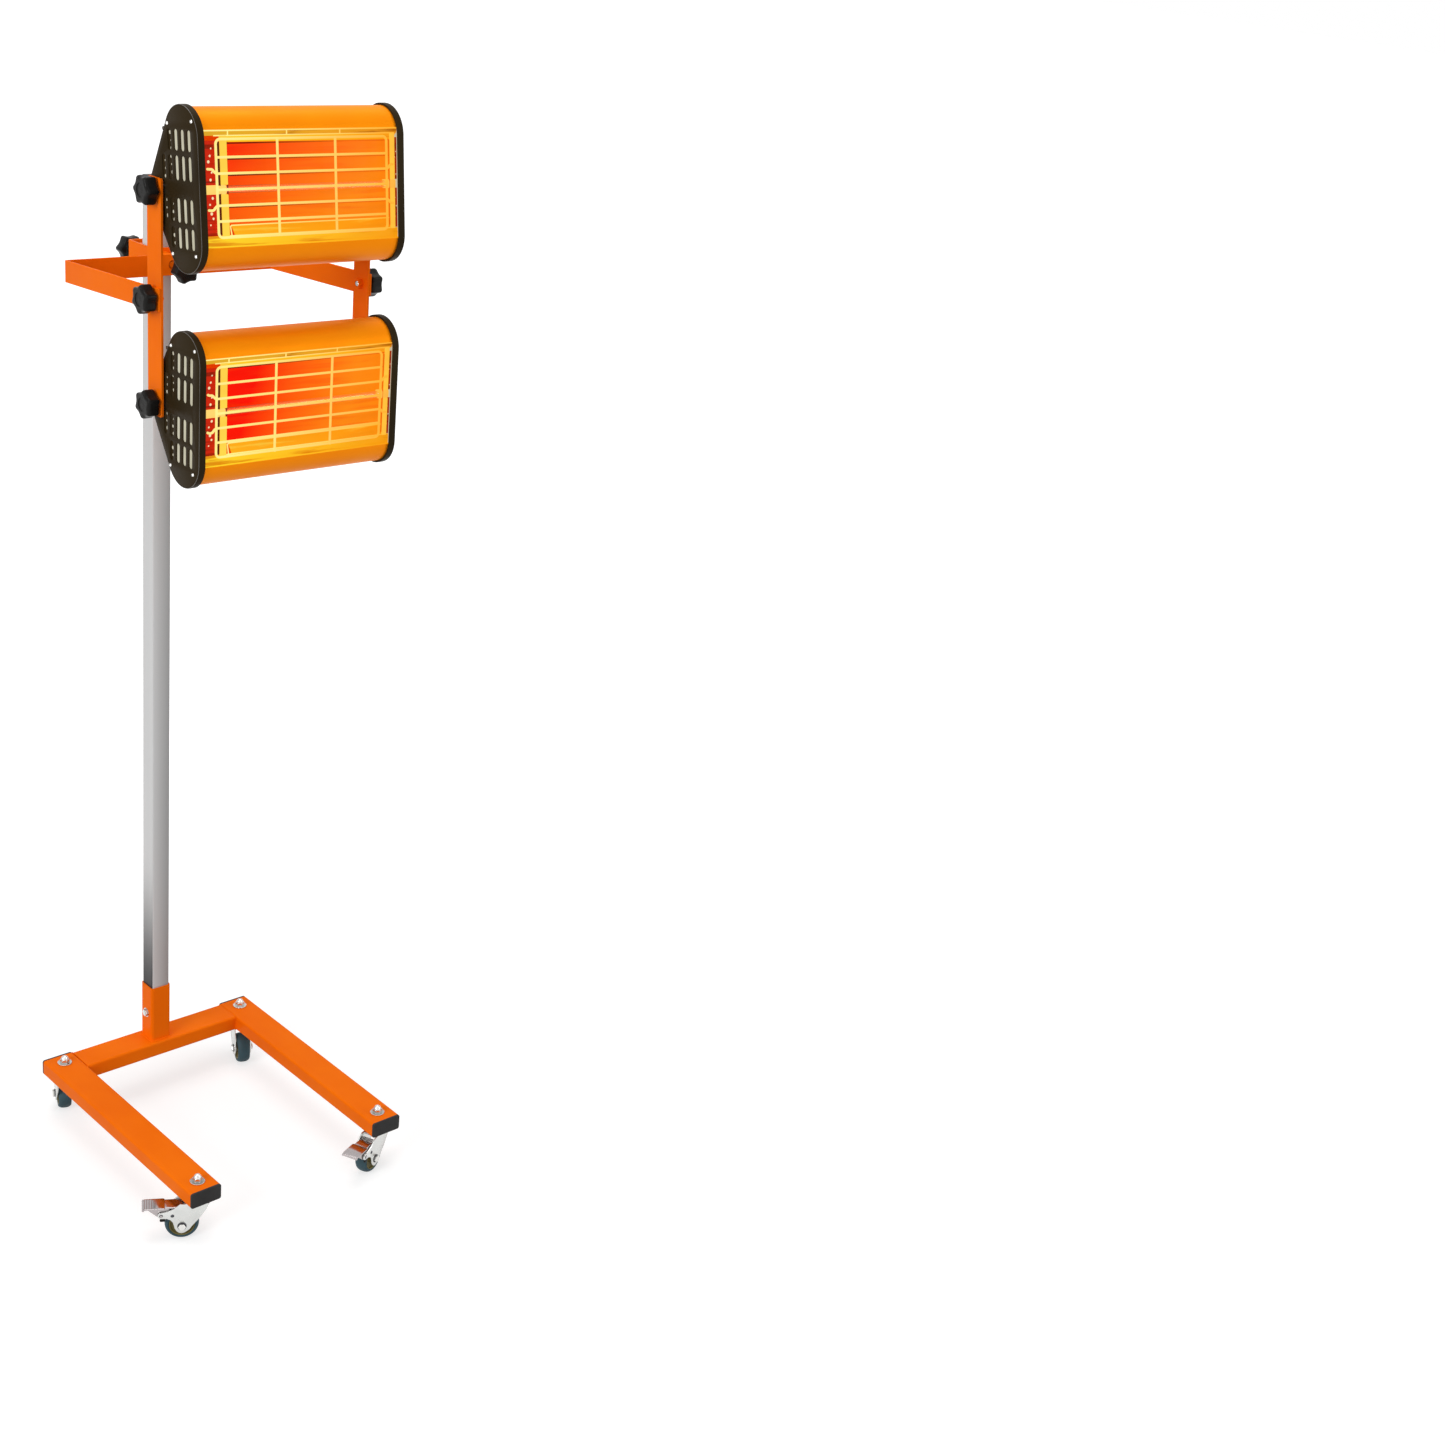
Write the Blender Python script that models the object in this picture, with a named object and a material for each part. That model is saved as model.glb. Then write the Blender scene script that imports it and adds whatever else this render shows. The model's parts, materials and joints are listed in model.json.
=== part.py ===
"""Infrared paint curing lamp: two heaters on a tilting frame, carried by a column on a rolling base.

Metres, +Z up. The column stands on the Z axis and the heaters face -Y.
"""

import math

import bmesh
import bpy
from mathutils import Matrix, Vector

# Fits and cuts
SEAT_GAP = 0.0003
RUNNING_GAP = 0.0005
OVERRUN = 0.002
BURY = 0.001
MERGE_DISTANCE = 0.000001

# Base frame of flat rectangular tube
LEG_LENGTH = 0.442
LEG_WIDTH = 0.050
LEG_HEIGHT = 0.025
LEG_SPACING = 0.322
LEG_WALL = 0.002
LEG_CORNER = 0.003
PLUG_FLANGE = 0.0026
PLUG_INSERT = 0.012
PLUG_WALL = 0.002

# Caster stems with their cap nuts
STEM_INSET = 0.0220
STEM_DIAMETER = 0.008
WASHER_DIAMETER = 0.022
WASHER_THICKNESS = 0.0016
NUT_ACROSS_FLATS = 0.013
NUT_HEIGHT = 0.0055
DOME_DIAMETER = 0.0115
DOME_HEIGHT = 0.006
RACEWAY_DIAMETER = 0.040
RACEWAY_THICKNESS = 0.003
RIVET_DIAMETER = 0.014
RIVET_THICKNESS = 0.002

# Caster forks, wheels and brake pedals
CASTER_HEIGHT = 0.068
CASTER_TRAIL = 0.022
WHEEL_DIAMETER = 0.050
WHEEL_WIDTH = 0.020
TREAD_CROWN = 0.002
TYRE_THICKNESS = 0.006
HUB_DIAMETER = 0.016
WEB_THICKNESS = 0.012
AXLE_DIAMETER = 0.006
AXLE_NUT_FLATS = 0.010
AXLE_NUT_HEIGHT = 0.004
WHEEL_SIDE_GAP = 0.0013
FORK_PLATE = 0.0026
CHEEK_THICKNESS = 0.0025
PEDAL_PIN_REACH = 0.030
PEDAL_PIN_RISE = 0.0197
PEDAL_PIN_DIAMETER = 0.004
PEDAL_TIP_REACH = 0.026
PEDAL_HEEL_REACH = 0.032
PEDAL_RISE = 0.0105
PEDAL_THICKNESS = 0.0022
PEDAL_RIB_HEIGHT = 0.0010
PEDAL_RIB_WIDTH = 0.0025
PEDAL_LIP_DROP = 0.003
SKIRT_THICKNESS = 0.002
SHOE_DIAMETER = 0.0028
SHOE_GAP = 0.0009

# Column and its socket
COLUMN_WIDTH = 0.030
COLUMN_WALL = 0.0015
COLUMN_CORNER = 0.002
COLUMN_ABOVE_SLEEVE = 0.094
SOCKET_WALL = 0.0017
SOCKET_HEIGHT = 0.0967
SOCKET_BOLT_HEIGHT = 0.047
SOCKET_BOLT_DIAMETER = 0.006
SOCKET_BOLT_FLATS = 0.010
SOCKET_BOLT_HEAD = 0.004
CAP_FLANGE = 0.003
CAP_INSERT = 0.012

# Sliding carriage
YOKE_CENTRE_HEIGHT = 1.367
SLEEVE_HEIGHT = 0.038
SLEEVE_WALL = 0.003
SLEEVE_CORNER = 0.003
CLAMP_SPACE = 0.0265
CLAMP_BOSS_DIAMETER = 0.020
CLAMP_BOSS_LENGTH = 0.010
ROLL_BOSS_DIAMETER = 0.028
ROLL_BOSS_LENGTH = 0.0215

# Yoke and the two upright bars
YOKE_THICKNESS = 0.003
YOKE_HEIGHT = 0.030
PIVOT_REACH = 0.271
ARM_RISE = 0.012
PIVOT_PITCH = 0.138
BAR_WIDTH = 0.034
BAR_THICKNESS = 0.003
BAR_OVERHANG = 0.016
BAR_CORNER = 0.003
WELD_NUT_FLATS = 0.013
WELD_NUT_HEIGHT = 0.0065

# Star knobs and their screws
KNOB_DIAMETER = 0.040
KNOB_WAIST = 0.033
KNOB_THICKNESS = 0.0175
KNOB_EDGE = 0.0025
KNOB_HUB_DIAMETER = 0.022
KNOB_HUB_HEIGHT = 0.002
SCREW_DIAMETER = 0.008
NECK_DIAMETER = 0.014
ROLL_NECK = 0.022
CLAMP_NECK = 0.0055
HEAD_SCREW_REACH = 0.014

# Heater heads, seen from the side as three discs wrapped by one skin
HEAD_WIDTH = 0.310
CROWN_RADIUS = 0.0392
CROWN_HALF_PITCH = 0.0646
CROWN_REACH = 0.0595
CROWN_LIFT = 0.004
HINGE_RADIUS = 0.023
COVER_DEPTH = 0.010
COVER_PLATE = 0.0025
COVER_RIM = 0.0027
PIVOT_BOSS_DIAMETER = 0.018
PIVOT_BOSS_HEIGHT = 0.0032
SLOT_WIDTH = 0.007
SLOT_PITCH = 0.0142
SLOT_START = 0.0242
SLOT_MIDDLE_GAP = 0.022
SLOT_BRIDGE = 0.006
SLOT_INNER_LENGTH = 0.030
SLOT_OUTER_LENGTH = 0.026
SLOT_MARGIN = 0.0085
SHELL_WALL = 0.0012
MOUTH_HALF_HEIGHT = 0.074

# Reflector, guard, quartz tube and its ceramic holders
REFLECTOR_SHEET = 0.001
FLANGE_SETBACK = 0.0077
TROUGH_DEPTH = 0.009
END_STRIP = 0.029
TROUGH_MOUTH_HALF_HEIGHT = 0.070
END_SLANT = 0.004
TROUGH_FLOOR_HALF_HEIGHT = 0.050
WIRE_DIAMETER = 0.003
WIRE_CROSSING = 0.002
GUARD_SIDE_MARGIN = 0.024
GUARD_HALF_HEIGHT = 0.061
GUARD_CORNER = 0.005
HOOK_REACH = 0.009
HOOK_RISE = 0.004
TUBE_DIAMETER = 0.009
TUBE_STANDOFF = 0.0015
HOLDER_END_MARGIN = 0.009
HOLDER_LENGTH = 0.031
HOLDER_HEIGHT = 0.014
HOLDER_FRONT = 0.0045
HOLDER_BACK = 0.0055
HOLDER_CORNER = 0.002

# Rocker switch and cord gland on the back of each head
ROCKER_LENGTH = 0.021
ROCKER_WIDTH = 0.015
ROCKER_PROUD = 0.003
ROCKER_SUNK = 0.004
ROCKER_END_MARGIN = 0.065
GLAND_DIAMETER = 0.018
GLAND_FLANGE = 0.004
GLAND_BODY_DIAMETER = 0.014
GLAND_BODY_LENGTH = 0.012
GLAND_THREAD_DIAMETER = 0.012
GLAND_THREAD_LENGTH = 0.008
GLAND_BORE = 0.007

# Angles in degrees and counts
CASTER_TURNS = {"front_left": 150, "front_right": 203, "rear_left": 68, "rear_right": 249}
BRAKED = ("front_left", "front_right")
FRAME_LEAN = -0.7
HEAD_TILTS = {"upper": -4.86, "lower": 0.7}
ROCKER_TILT = 6
SHARP_ANGLE = 32
KNOB_LOBES = 6
POINTS_PER_LOBE = 4
SLOT_COLUMNS = 5
GUARD_RUNGS = 5
SIDES = 24
CORE_SIDES = 16
SMALL_SIDES = 12
WIRE_SIDES = 6
CORNER_STEPS = 2
SLOT_END_STEPS = 2
CROWN_STEPS = 9
HINGE_STEPS = 4

# Outline of a fork cheek behind and below its plate, as shares of the trail and of the drop to the axle
CHEEK_SHARES = (
    (-0.80, 1.04), (-0.57, 0.73), (-0.14, 0.34), (0.33, -0.01), (0.67, -0.25),
    (1.02, -0.34), (1.38, -0.21), (1.53, 0.05),
)
BRAKED_TOP_SHARES = ((1.53, 0.82), (1.10, 1.04))
PLAIN_TOP_SHARES = ((1.50, 0.42), (1.30, 0.72), (1.05, 1.04))
EAR_RADIUS = 0.0052
EAR_SHOULDER_SHARE = 1.75

# Points of a pedal skirt, as shares of its tip reach and of the pin's depth below the plate
SKIRT_SHARES = ((-0.45, 1.0), (-0.34, 0.2), (-0.16, -0.42), (0.18, -0.36), (0.80, 1.0))
RIB_SHARES = (-0.15, 0.42, 0.80)
UPRIGHT_SHARE = 0.336
ROCKER_SLOPE_SHARE = 0.45
GLAND_SLOPE_SHARE = 0.5

# Colour, roughness and metallic value of each material
LOOKS = {
    "orange paint": ((0.90, 0.16, 0.01, 1), 0.38, 0.0),
    "silver paint": ((0.62, 0.62, 0.63, 1), 0.35, 0.6),
    "black plastic": ((0.02, 0.02, 0.022, 1), 0.5, 0.0),
    "black covers": ((0.025, 0.02, 0.016, 1), 0.45, 0.0),
    "bright zinc": ((0.75, 0.75, 0.74, 1), 0.22, 1.0),
    "blue grey rubber": ((0.05, 0.07, 0.09, 1), 0.7, 0.0),
    "olive core": ((0.34, 0.31, 0.22, 1), 0.5, 0.0),
    "polished reflector": ((0.95, 0.45, 0.10, 1), 0.2, 0.8),
    "guard wire": ((0.95, 0.72, 0.30, 1), 0.3, 0.8),
    "glowing quartz": ((1.0, 0.55, 0.15, 1), 0.15, 0.0),
    "ceramic": ((0.92, 0.86, 0.70, 1), 0.5, 0.0),
}

# Levels and places that follow from the sizes
LEG_BOTTOM = CASTER_HEIGHT
LEG_TOP = LEG_BOTTOM + LEG_HEIGHT
LEG_REAR = LEG_WIDTH / 2
LEG_FRONT = LEG_REAR - LEG_LENGTH
RACEWAY_TOP = LEG_BOTTOM - SEAT_GAP
RACEWAY_BOTTOM = RACEWAY_TOP - RACEWAY_THICKNESS
PLATE_TOP = RACEWAY_BOTTOM - SEAT_GAP
PLATE_BOTTOM = PLATE_TOP - FORK_PLATE
AXLE_HEIGHT = WHEEL_DIAMETER / 2
CHEEK_INSIDE = WHEEL_WIDTH / 2 + WHEEL_SIDE_GAP
CHEEK_OUTSIDE = CHEEK_INSIDE + CHEEK_THICKNESS
PEDAL_PIN = (CASTER_TRAIL + PEDAL_PIN_REACH, AXLE_HEIGHT + PEDAL_PIN_RISE)
COLUMN_FOOT = LEG_TOP + SEAT_GAP
COLUMN_TOP = YOKE_CENTRE_HEIGHT + SLEEVE_HEIGHT / 2 + COLUMN_ABOVE_SLEEVE
SLEEVE_BORE = COLUMN_WIDTH / 2 + RUNNING_GAP
SLEEVE_FRONT = SLEEVE_BORE + SLEEVE_WALL
SLEEVE_REAR = SLEEVE_FRONT + CLAMP_SPACE + SLEEVE_WALL
COVER_FACE = HEAD_WIDTH / 2
BAR_INSIDE = COVER_FACE + PIVOT_BOSS_HEIGHT + SEAT_GAP
BAR_OUTSIDE = BAR_INSIDE + BAR_THICKNESS
ARM_INSIDE = BAR_OUTSIDE + SEAT_GAP
ARM_OUTSIDE = ARM_INSIDE + YOKE_THICKNESS
YOKE_BACK = SLEEVE_FRONT + ROLL_BOSS_LENGTH + SEAT_GAP
YOKE_FACE = YOKE_BACK + YOKE_THICKNESS
SCREW_BORE = SCREW_DIAMETER / 2 + SEAT_GAP
HEAD_FRONT = -(CROWN_REACH + CROWN_RADIUS)
WIRE_PLANE = HEAD_FRONT + WIRE_DIAMETER / 2 + WIRE_CROSSING
FLANGE_PLANE = HEAD_FRONT + FLANGE_SETBACK
TUBE_PLANE = FLANGE_PLANE + TROUGH_DEPTH - TUBE_STANDOFF - TUBE_DIAMETER / 2
TROUGH_MOUTH_HALF_WIDTH = COVER_FACE - END_STRIP
TROUGH_FLOOR_HALF_WIDTH = TROUGH_MOUTH_HALF_WIDTH - END_SLANT
GUARD_HALF_WIDTH = COVER_FACE - GUARD_SIDE_MARGIN
GUARD_UPRIGHT_OFFSET = GUARD_HALF_WIDTH * UPRIGHT_SHARE
HOLDER_START = COVER_FACE - HOLDER_END_MARGIN - HOLDER_LENGTH
ROCKER_OFFSET = COVER_FACE - ROCKER_END_MARGIN


def clear_scene():
    for obj in list(bpy.data.objects):
        bpy.data.objects.remove(obj, do_unlink=True)


def material(look):
    """The material of this name, made when it is first asked for."""
    found = bpy.data.materials.get(look)
    if found:
        return found
    colour, roughness, metallic = LOOKS[look]
    made = bpy.data.materials.new(look)
    made.use_nodes = True
    made.diffuse_color = colour
    shader = made.node_tree.nodes["Principled BSDF"]
    shader.inputs["Base Color"].default_value = colour
    shader.inputs["Roughness"].default_value = roughness
    shader.inputs["Metallic"].default_value = metallic
    return made


def mesh_from(name, bm):
    bmesh.ops.remove_doubles(bm, verts=bm.verts, dist=MERGE_DISTANCE)
    bmesh.ops.recalc_face_normals(bm, faces=bm.faces)
    mesh = bpy.data.meshes.new(name)
    bm.to_mesh(mesh)
    bm.free()
    return mesh


def piece(name, bm, look, parent):
    """A named object of this shape and material, carried by its parent."""
    mesh = mesh_from(name, bm)
    mesh.materials.append(material(look))
    mesh.shade_smooth()
    mesh.set_sharp_from_angle(angle=math.radians(SHARP_ANGLE))
    obj = bpy.data.objects.new(name, mesh)
    bpy.context.scene.collection.objects.link(obj)
    obj.parent = parent
    return obj


def boolean(target, bm, operation):
    """Join or cut the target with a hidden helper shape given in the target's own coordinates."""
    name = f"{target.name}_{operation.lower()}_{len(target.modifiers)}"
    helper = bpy.data.objects.new(name, mesh_from(name, bm))
    bpy.context.scene.collection.objects.link(helper)
    helper.parent = target
    helper.hide_render = True
    helper.display_type = "WIRE"
    modifier = target.modifiers.new(name, "BOOLEAN")
    modifier.operation = operation
    modifier.solver = "EXACT"
    modifier.object = helper


def cut(target, bm):
    boolean(target, bm, "DIFFERENCE")


def join(target, bm):
    boolean(target, bm, "UNION")


def empty(name, parent, location, turn=(0, 0, 0)):
    """An empty on a joint's axis, turned by angles in degrees."""
    obj = bpy.data.objects.new(name, None)
    bpy.context.scene.collection.objects.link(obj)
    obj.parent = parent
    obj.location = location
    obj.rotation_euler = [math.radians(angle) for angle in turn]
    return obj


def circle(radius, sides, centre=(0, 0), phase=0):
    turns = [phase + 2 * math.pi * i / sides for i in range(sides)]
    return [(centre[0] + radius * math.cos(t), centre[1] + radius * math.sin(t)) for t in turns]


def hexagon(across_flats, centre=(0, 0)):
    return circle(across_flats / 2 / math.cos(math.pi / 6), 6, centre)


def rectangle(half_a, half_b, centre=(0, 0)):
    corners = ((1, 1), (-1, 1), (-1, -1), (1, -1))
    return [(centre[0] + a * half_a, centre[1] + b * half_b) for a, b in corners]


def rounded_rectangle(half_a, half_b, radius, centre=(0, 0)):
    """A rectangle's outline, anticlockwise, with each corner turned through a few steps."""
    points = []
    for quarter, (a, b) in enumerate(((1, 1), (-1, 1), (-1, -1), (1, -1))):
        corner = (centre[0] + a * (half_a - radius), centre[1] + b * (half_b - radius))
        for step in range(CORNER_STEPS + 1):
            turn = math.pi / 2 * (quarter + step / CORNER_STEPS)
            points.append((corner[0] + radius * math.cos(turn), corner[1] + radius * math.sin(turn)))
    return points


def at_z(outline, z):
    return [(a, b, z) for a, b in outline]


def at_x(outline, x):
    return [(x, a, b) for a, b in outline]


def at_y(outline, y):
    return [(a, y, b) for a, b in outline]


def loft(bm, rings, closed=False):
    """Skin a row of equal rings, capped at both ends unless the row closes on itself."""
    loops = [[bm.verts.new(point) for point in ring] for ring in rings]
    pairs = list(zip(loops, loops[1:]))
    if closed:
        pairs.append((loops[-1], loops[0]))
    else:
        bm.faces.new(loops[0])
        bm.faces.new(loops[-1])
    for near, far in pairs:
        for i, vert in enumerate(near):
            j = (i + 1) % len(near)
            bm.faces.new((vert, near[j], far[j], far[i]))
    return bm


def prism(bm, outline, end):
    """Extrude an outline, given as points in space, by the vector end."""
    face = bm.faces.new([bm.verts.new(point) for point in outline])
    grown = bmesh.ops.extrude_face_region(bm, geom=[face], use_keep_orig=True)
    moved = [item for item in grown["geom"] if isinstance(item, bmesh.types.BMVert)]
    bmesh.ops.translate(bm, verts=moved, vec=Vector(end))
    return bm


def bar_along_x(bm, outline, low, high):
    return prism(bm, at_x(outline, low), (high - low, 0, 0))


def bar_along_y(bm, outline, low, high):
    return prism(bm, at_y(outline, low), (0, high - low, 0))


def bar_along_z(bm, outline, low, high):
    return prism(bm, at_z(outline, low), (0, 0, high - low))


def turned(profile, sides, closed=False):
    """Turn a profile of (radius, height) points about Z."""
    bm = bmesh.new()
    verts = [bm.verts.new((radius, 0, height)) for radius, height in profile]
    edges = [bm.edges.new(pair) for pair in zip(verts, verts[1:])]
    if closed:
        edges.append(bm.edges.new((verts[-1], verts[0])))
    bmesh.ops.spin(
        bm, geom=verts + edges, cent=(0, 0, 0), axis=(0, 0, 1), angle=2 * math.pi, steps=sides, use_merge=True
    )
    return bm


def wire(bm, points, closed=False):
    """A round wire along a row of points, its section turned from each to the next without a twist."""
    points = [Vector(point) for point in points]
    section = at_z(circle(WIRE_DIAMETER / 2, WIRE_SIDES), 0)
    rings = []
    heading = Vector((0, 0, 1))
    turn = heading.rotation_difference(heading)
    for i, point in enumerate(points):
        before = points[i - 1] if i or closed else point
        after = points[(i + 1) % len(points)] if i + 1 < len(points) or closed else point
        along = ((after - point).normalized() + (point - before).normalized()).normalized()
        turn = heading.rotation_difference(along) @ turn
        heading = along
        rings.append([point + turn @ Vector(corner) for corner in section])
    return loft(bm, rings, closed)


def leg(name, side, root):
    """A leg of the base: flat tube with a hole through it for each caster stem."""
    x = side * LEG_SPACING / 2
    middle = LEG_BOTTOM + LEG_HEIGHT / 2
    outer = rounded_rectangle(LEG_WIDTH / 2, LEG_HEIGHT / 2, LEG_CORNER, (x, middle))
    inner = rounded_rectangle(
        LEG_WIDTH / 2 - LEG_WALL, LEG_HEIGHT / 2 - LEG_WALL, LEG_CORNER - LEG_WALL, (x, middle)
    )
    rings = [at_y(outer, LEG_FRONT), at_y(outer, LEG_REAR), at_y(inner, LEG_REAR), at_y(inner, LEG_FRONT)]
    obj = piece(name, loft(bmesh.new(), rings, closed=True), "orange paint", root)
    holes = bmesh.new()
    for y in (LEG_FRONT + STEM_INSET, LEG_REAR - STEM_INSET):
        hole = circle(STEM_DIAMETER / 2 + SEAT_GAP, SMALL_SIDES, (x, y))
        bar_along_z(holes, hole, LEG_BOTTOM - OVERRUN, LEG_TOP + OVERRUN)
    cut(obj, holes)


def cross_tube(root):
    half = LEG_SPACING / 2 - LEG_WIDTH / 2 - SEAT_GAP
    centre = (0, LEG_BOTTOM + LEG_HEIGHT / 2)
    outer = rounded_rectangle(LEG_WIDTH / 2, LEG_HEIGHT / 2, LEG_CORNER, centre)
    inner = rounded_rectangle(
        LEG_WIDTH / 2 - LEG_WALL, LEG_HEIGHT / 2 - LEG_WALL, LEG_CORNER - LEG_WALL, centre
    )
    rings = [at_x(outer, -half), at_x(outer, half), at_x(inner, half), at_x(inner, -half)]
    piece("cross_tube", loft(bmesh.new(), rings, closed=True), "orange paint", root)


def leg_plug(name, side, end, root):
    """A plastic end plug: a flange as large as the tube and a hollow insert inside it."""
    face = LEG_FRONT if end < 0 else LEG_REAR
    centre = (side * LEG_SPACING / 2, LEG_BOTTOM + LEG_HEIGHT / 2)
    flange = rounded_rectangle(LEG_WIDTH / 2, LEG_HEIGHT / 2, LEG_CORNER, centre)
    fit = LEG_WALL + SEAT_GAP
    insert = rounded_rectangle(LEG_WIDTH / 2 - fit, LEG_HEIGHT / 2 - fit, LEG_CORNER - LEG_WALL, centre)
    thin = fit + PLUG_WALL
    hollow = rounded_rectangle(LEG_WIDTH / 2 - thin, LEG_HEIGHT / 2 - thin, LEG_CORNER - LEG_WALL, centre)
    seat = face + end * SEAT_GAP
    rings = [
        at_y(flange, seat + end * PLUG_FLANGE),
        at_y(flange, seat),
        at_y(insert, seat),
        at_y(insert, face - end * PLUG_INSERT),
        at_y(hollow, face - end * PLUG_INSERT),
        at_y(hollow, seat),
    ]
    piece(name, loft(bmesh.new(), rings), "black plastic", root)


def caster_stem(name, x, y, root):
    """The threaded stem, its washer and cap nut above the leg, its raceway and rivet head below."""
    stem = STEM_DIAMETER / 2
    washer_top = LEG_TOP + SEAT_GAP + WASHER_THICKNESS
    nut_top = washer_top + NUT_HEIGHT
    rivet_top = PLATE_BOTTOM - SEAT_GAP
    levels = (
        (RIVET_DIAMETER / 2, rivet_top - RIVET_THICKNESS),
        (RIVET_DIAMETER / 2, rivet_top),
        (stem, rivet_top),
        (stem, RACEWAY_BOTTOM),
        (RACEWAY_DIAMETER / 2, RACEWAY_BOTTOM),
        (RACEWAY_DIAMETER / 2, RACEWAY_TOP),
        (stem, RACEWAY_TOP),
        (stem, LEG_TOP + SEAT_GAP),
        (WASHER_DIAMETER / 2, LEG_TOP + SEAT_GAP),
        (WASHER_DIAMETER / 2, washer_top),
    )
    rings = [at_z(circle(radius, SMALL_SIDES), z) for radius, z in levels]
    flats = [NUT_ACROSS_FLATS / 2 / math.cos(math.pi / 6), NUT_ACROSS_FLATS / 2]
    for z in (washer_top, nut_top):
        rings.append(
            [
                (flats[i % 2] * math.cos(math.pi / 6 * i), flats[i % 2] * math.sin(math.pi / 6 * i), z)
                for i in range(SMALL_SIDES)
            ]
        )
    for turn in (0, math.pi / 6, math.pi / 3):
        radius = DOME_DIAMETER / 2 * math.cos(turn)
        rings.append(at_z(circle(radius, SMALL_SIDES), nut_top + DOME_HEIGHT * math.sin(turn)))
    obj = piece(name, loft(bmesh.new(), rings), "bright zinc", root)
    obj.location = (x, y, 0)


def cheek_outline(braked):
    """A fork cheek from the side, in trail and height, with an ear for the brake pin where it has one."""
    drop = PLATE_BOTTOM - AXLE_HEIGHT
    top = BRAKED_TOP_SHARES if braked else PLAIN_TOP_SHARES
    points = [(u * CASTER_TRAIL, AXLE_HEIGHT + v * drop) for u, v in CHEEK_SHARES]
    if braked:
        pin_u, pin_z = PEDAL_PIN
        points.append((EAR_SHOULDER_SHARE * CASTER_TRAIL, pin_z - EAR_RADIUS))
        for step in range(CORNER_STEPS * 2 + 1):
            turn = math.pi * (step / CORNER_STEPS / 2 - 1 / 2)
            points.append((pin_u + EAR_RADIUS * math.cos(turn), pin_z + EAR_RADIUS * math.sin(turn)))
    points += [(u * CASTER_TRAIL, AXLE_HEIGHT + v * drop) for u, v in top]
    return points


def caster_fork(name, braked, swivel):
    """A fork: the raceway plate, two cheeks and the axle bolt between them."""
    plate = [
        at_z(circle(RACEWAY_DIAMETER / 2, SIDES), PLATE_BOTTOM),
        at_z(circle(RACEWAY_DIAMETER / 2, SIDES), PLATE_TOP),
        at_z(circle(STEM_DIAMETER / 2 + RUNNING_GAP, SIDES), PLATE_TOP),
        at_z(circle(STEM_DIAMETER / 2 + RUNNING_GAP, SIDES), PLATE_BOTTOM),
    ]
    obj = piece(name, loft(bmesh.new(), plate, closed=True), "bright zinc", swivel)
    cheeks = bmesh.new()
    outline = cheek_outline(braked)
    bar_along_y(cheeks, outline, CHEEK_INSIDE, CHEEK_OUTSIDE)
    bar_along_y(cheeks, outline, -CHEEK_OUTSIDE, -CHEEK_INSIDE)
    join(obj, cheeks)
    axle = (CASTER_TRAIL, AXLE_HEIGHT)
    end = CHEEK_OUTSIDE + AXLE_NUT_HEIGHT
    join(obj, bar_along_y(bmesh.new(), circle(AXLE_DIAMETER / 2, SMALL_SIDES, axle), BURY - end, end - BURY))
    nuts = bmesh.new()
    bar_along_y(nuts, hexagon(AXLE_NUT_FLATS, axle), CHEEK_OUTSIDE - BURY, end)
    bar_along_y(nuts, hexagon(AXLE_NUT_FLATS, axle), -end, BURY - CHEEK_OUTSIDE)
    join(obj, nuts)
    if braked:
        hole = circle(PEDAL_PIN_DIAMETER / 2 + SEAT_GAP, SMALL_SIDES, PEDAL_PIN)
        cut(obj, bar_along_y(bmesh.new(), hole, -end, end))


def caster_wheel(name, hub):
    """A tyre on its core, both turned about the axle."""
    radius = WHEEL_DIAMETER / 2
    half = WHEEL_WIDTH / 2
    seat = radius - TYRE_THICKNESS
    shoulder = half - TREAD_CROWN
    tyre = (
        (seat, -half), (radius - TREAD_CROWN, -half), (radius, -shoulder),
        (radius, shoulder), (radius - TREAD_CROWN, half), (seat, half),
    )
    rim = seat - SEAT_GAP
    rim_inside = rim - TREAD_CROWN
    web = WEB_THICKNESS / 2
    bore = AXLE_DIAMETER / 2 + RUNNING_GAP
    core = (
        (bore, -half), (HUB_DIAMETER / 2, -half), (HUB_DIAMETER / 2, -web), (rim_inside, -web),
        (rim_inside, -half), (rim, -half), (rim, half), (rim_inside, half),
        (rim_inside, web), (HUB_DIAMETER / 2, web), (HUB_DIAMETER / 2, half), (bore, half),
    )
    parts = (("tyre", tyre, SIDES, "blue grey rubber"), ("wheel_core", core, CORE_SIDES, "olive core"))
    for kind, profile, sides, look in parts:
        obj = piece(f"{kind}_{name}", turned(profile, sides, closed=True), look, hub)
        obj.rotation_euler = (math.pi / 2, 0, 0)


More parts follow.
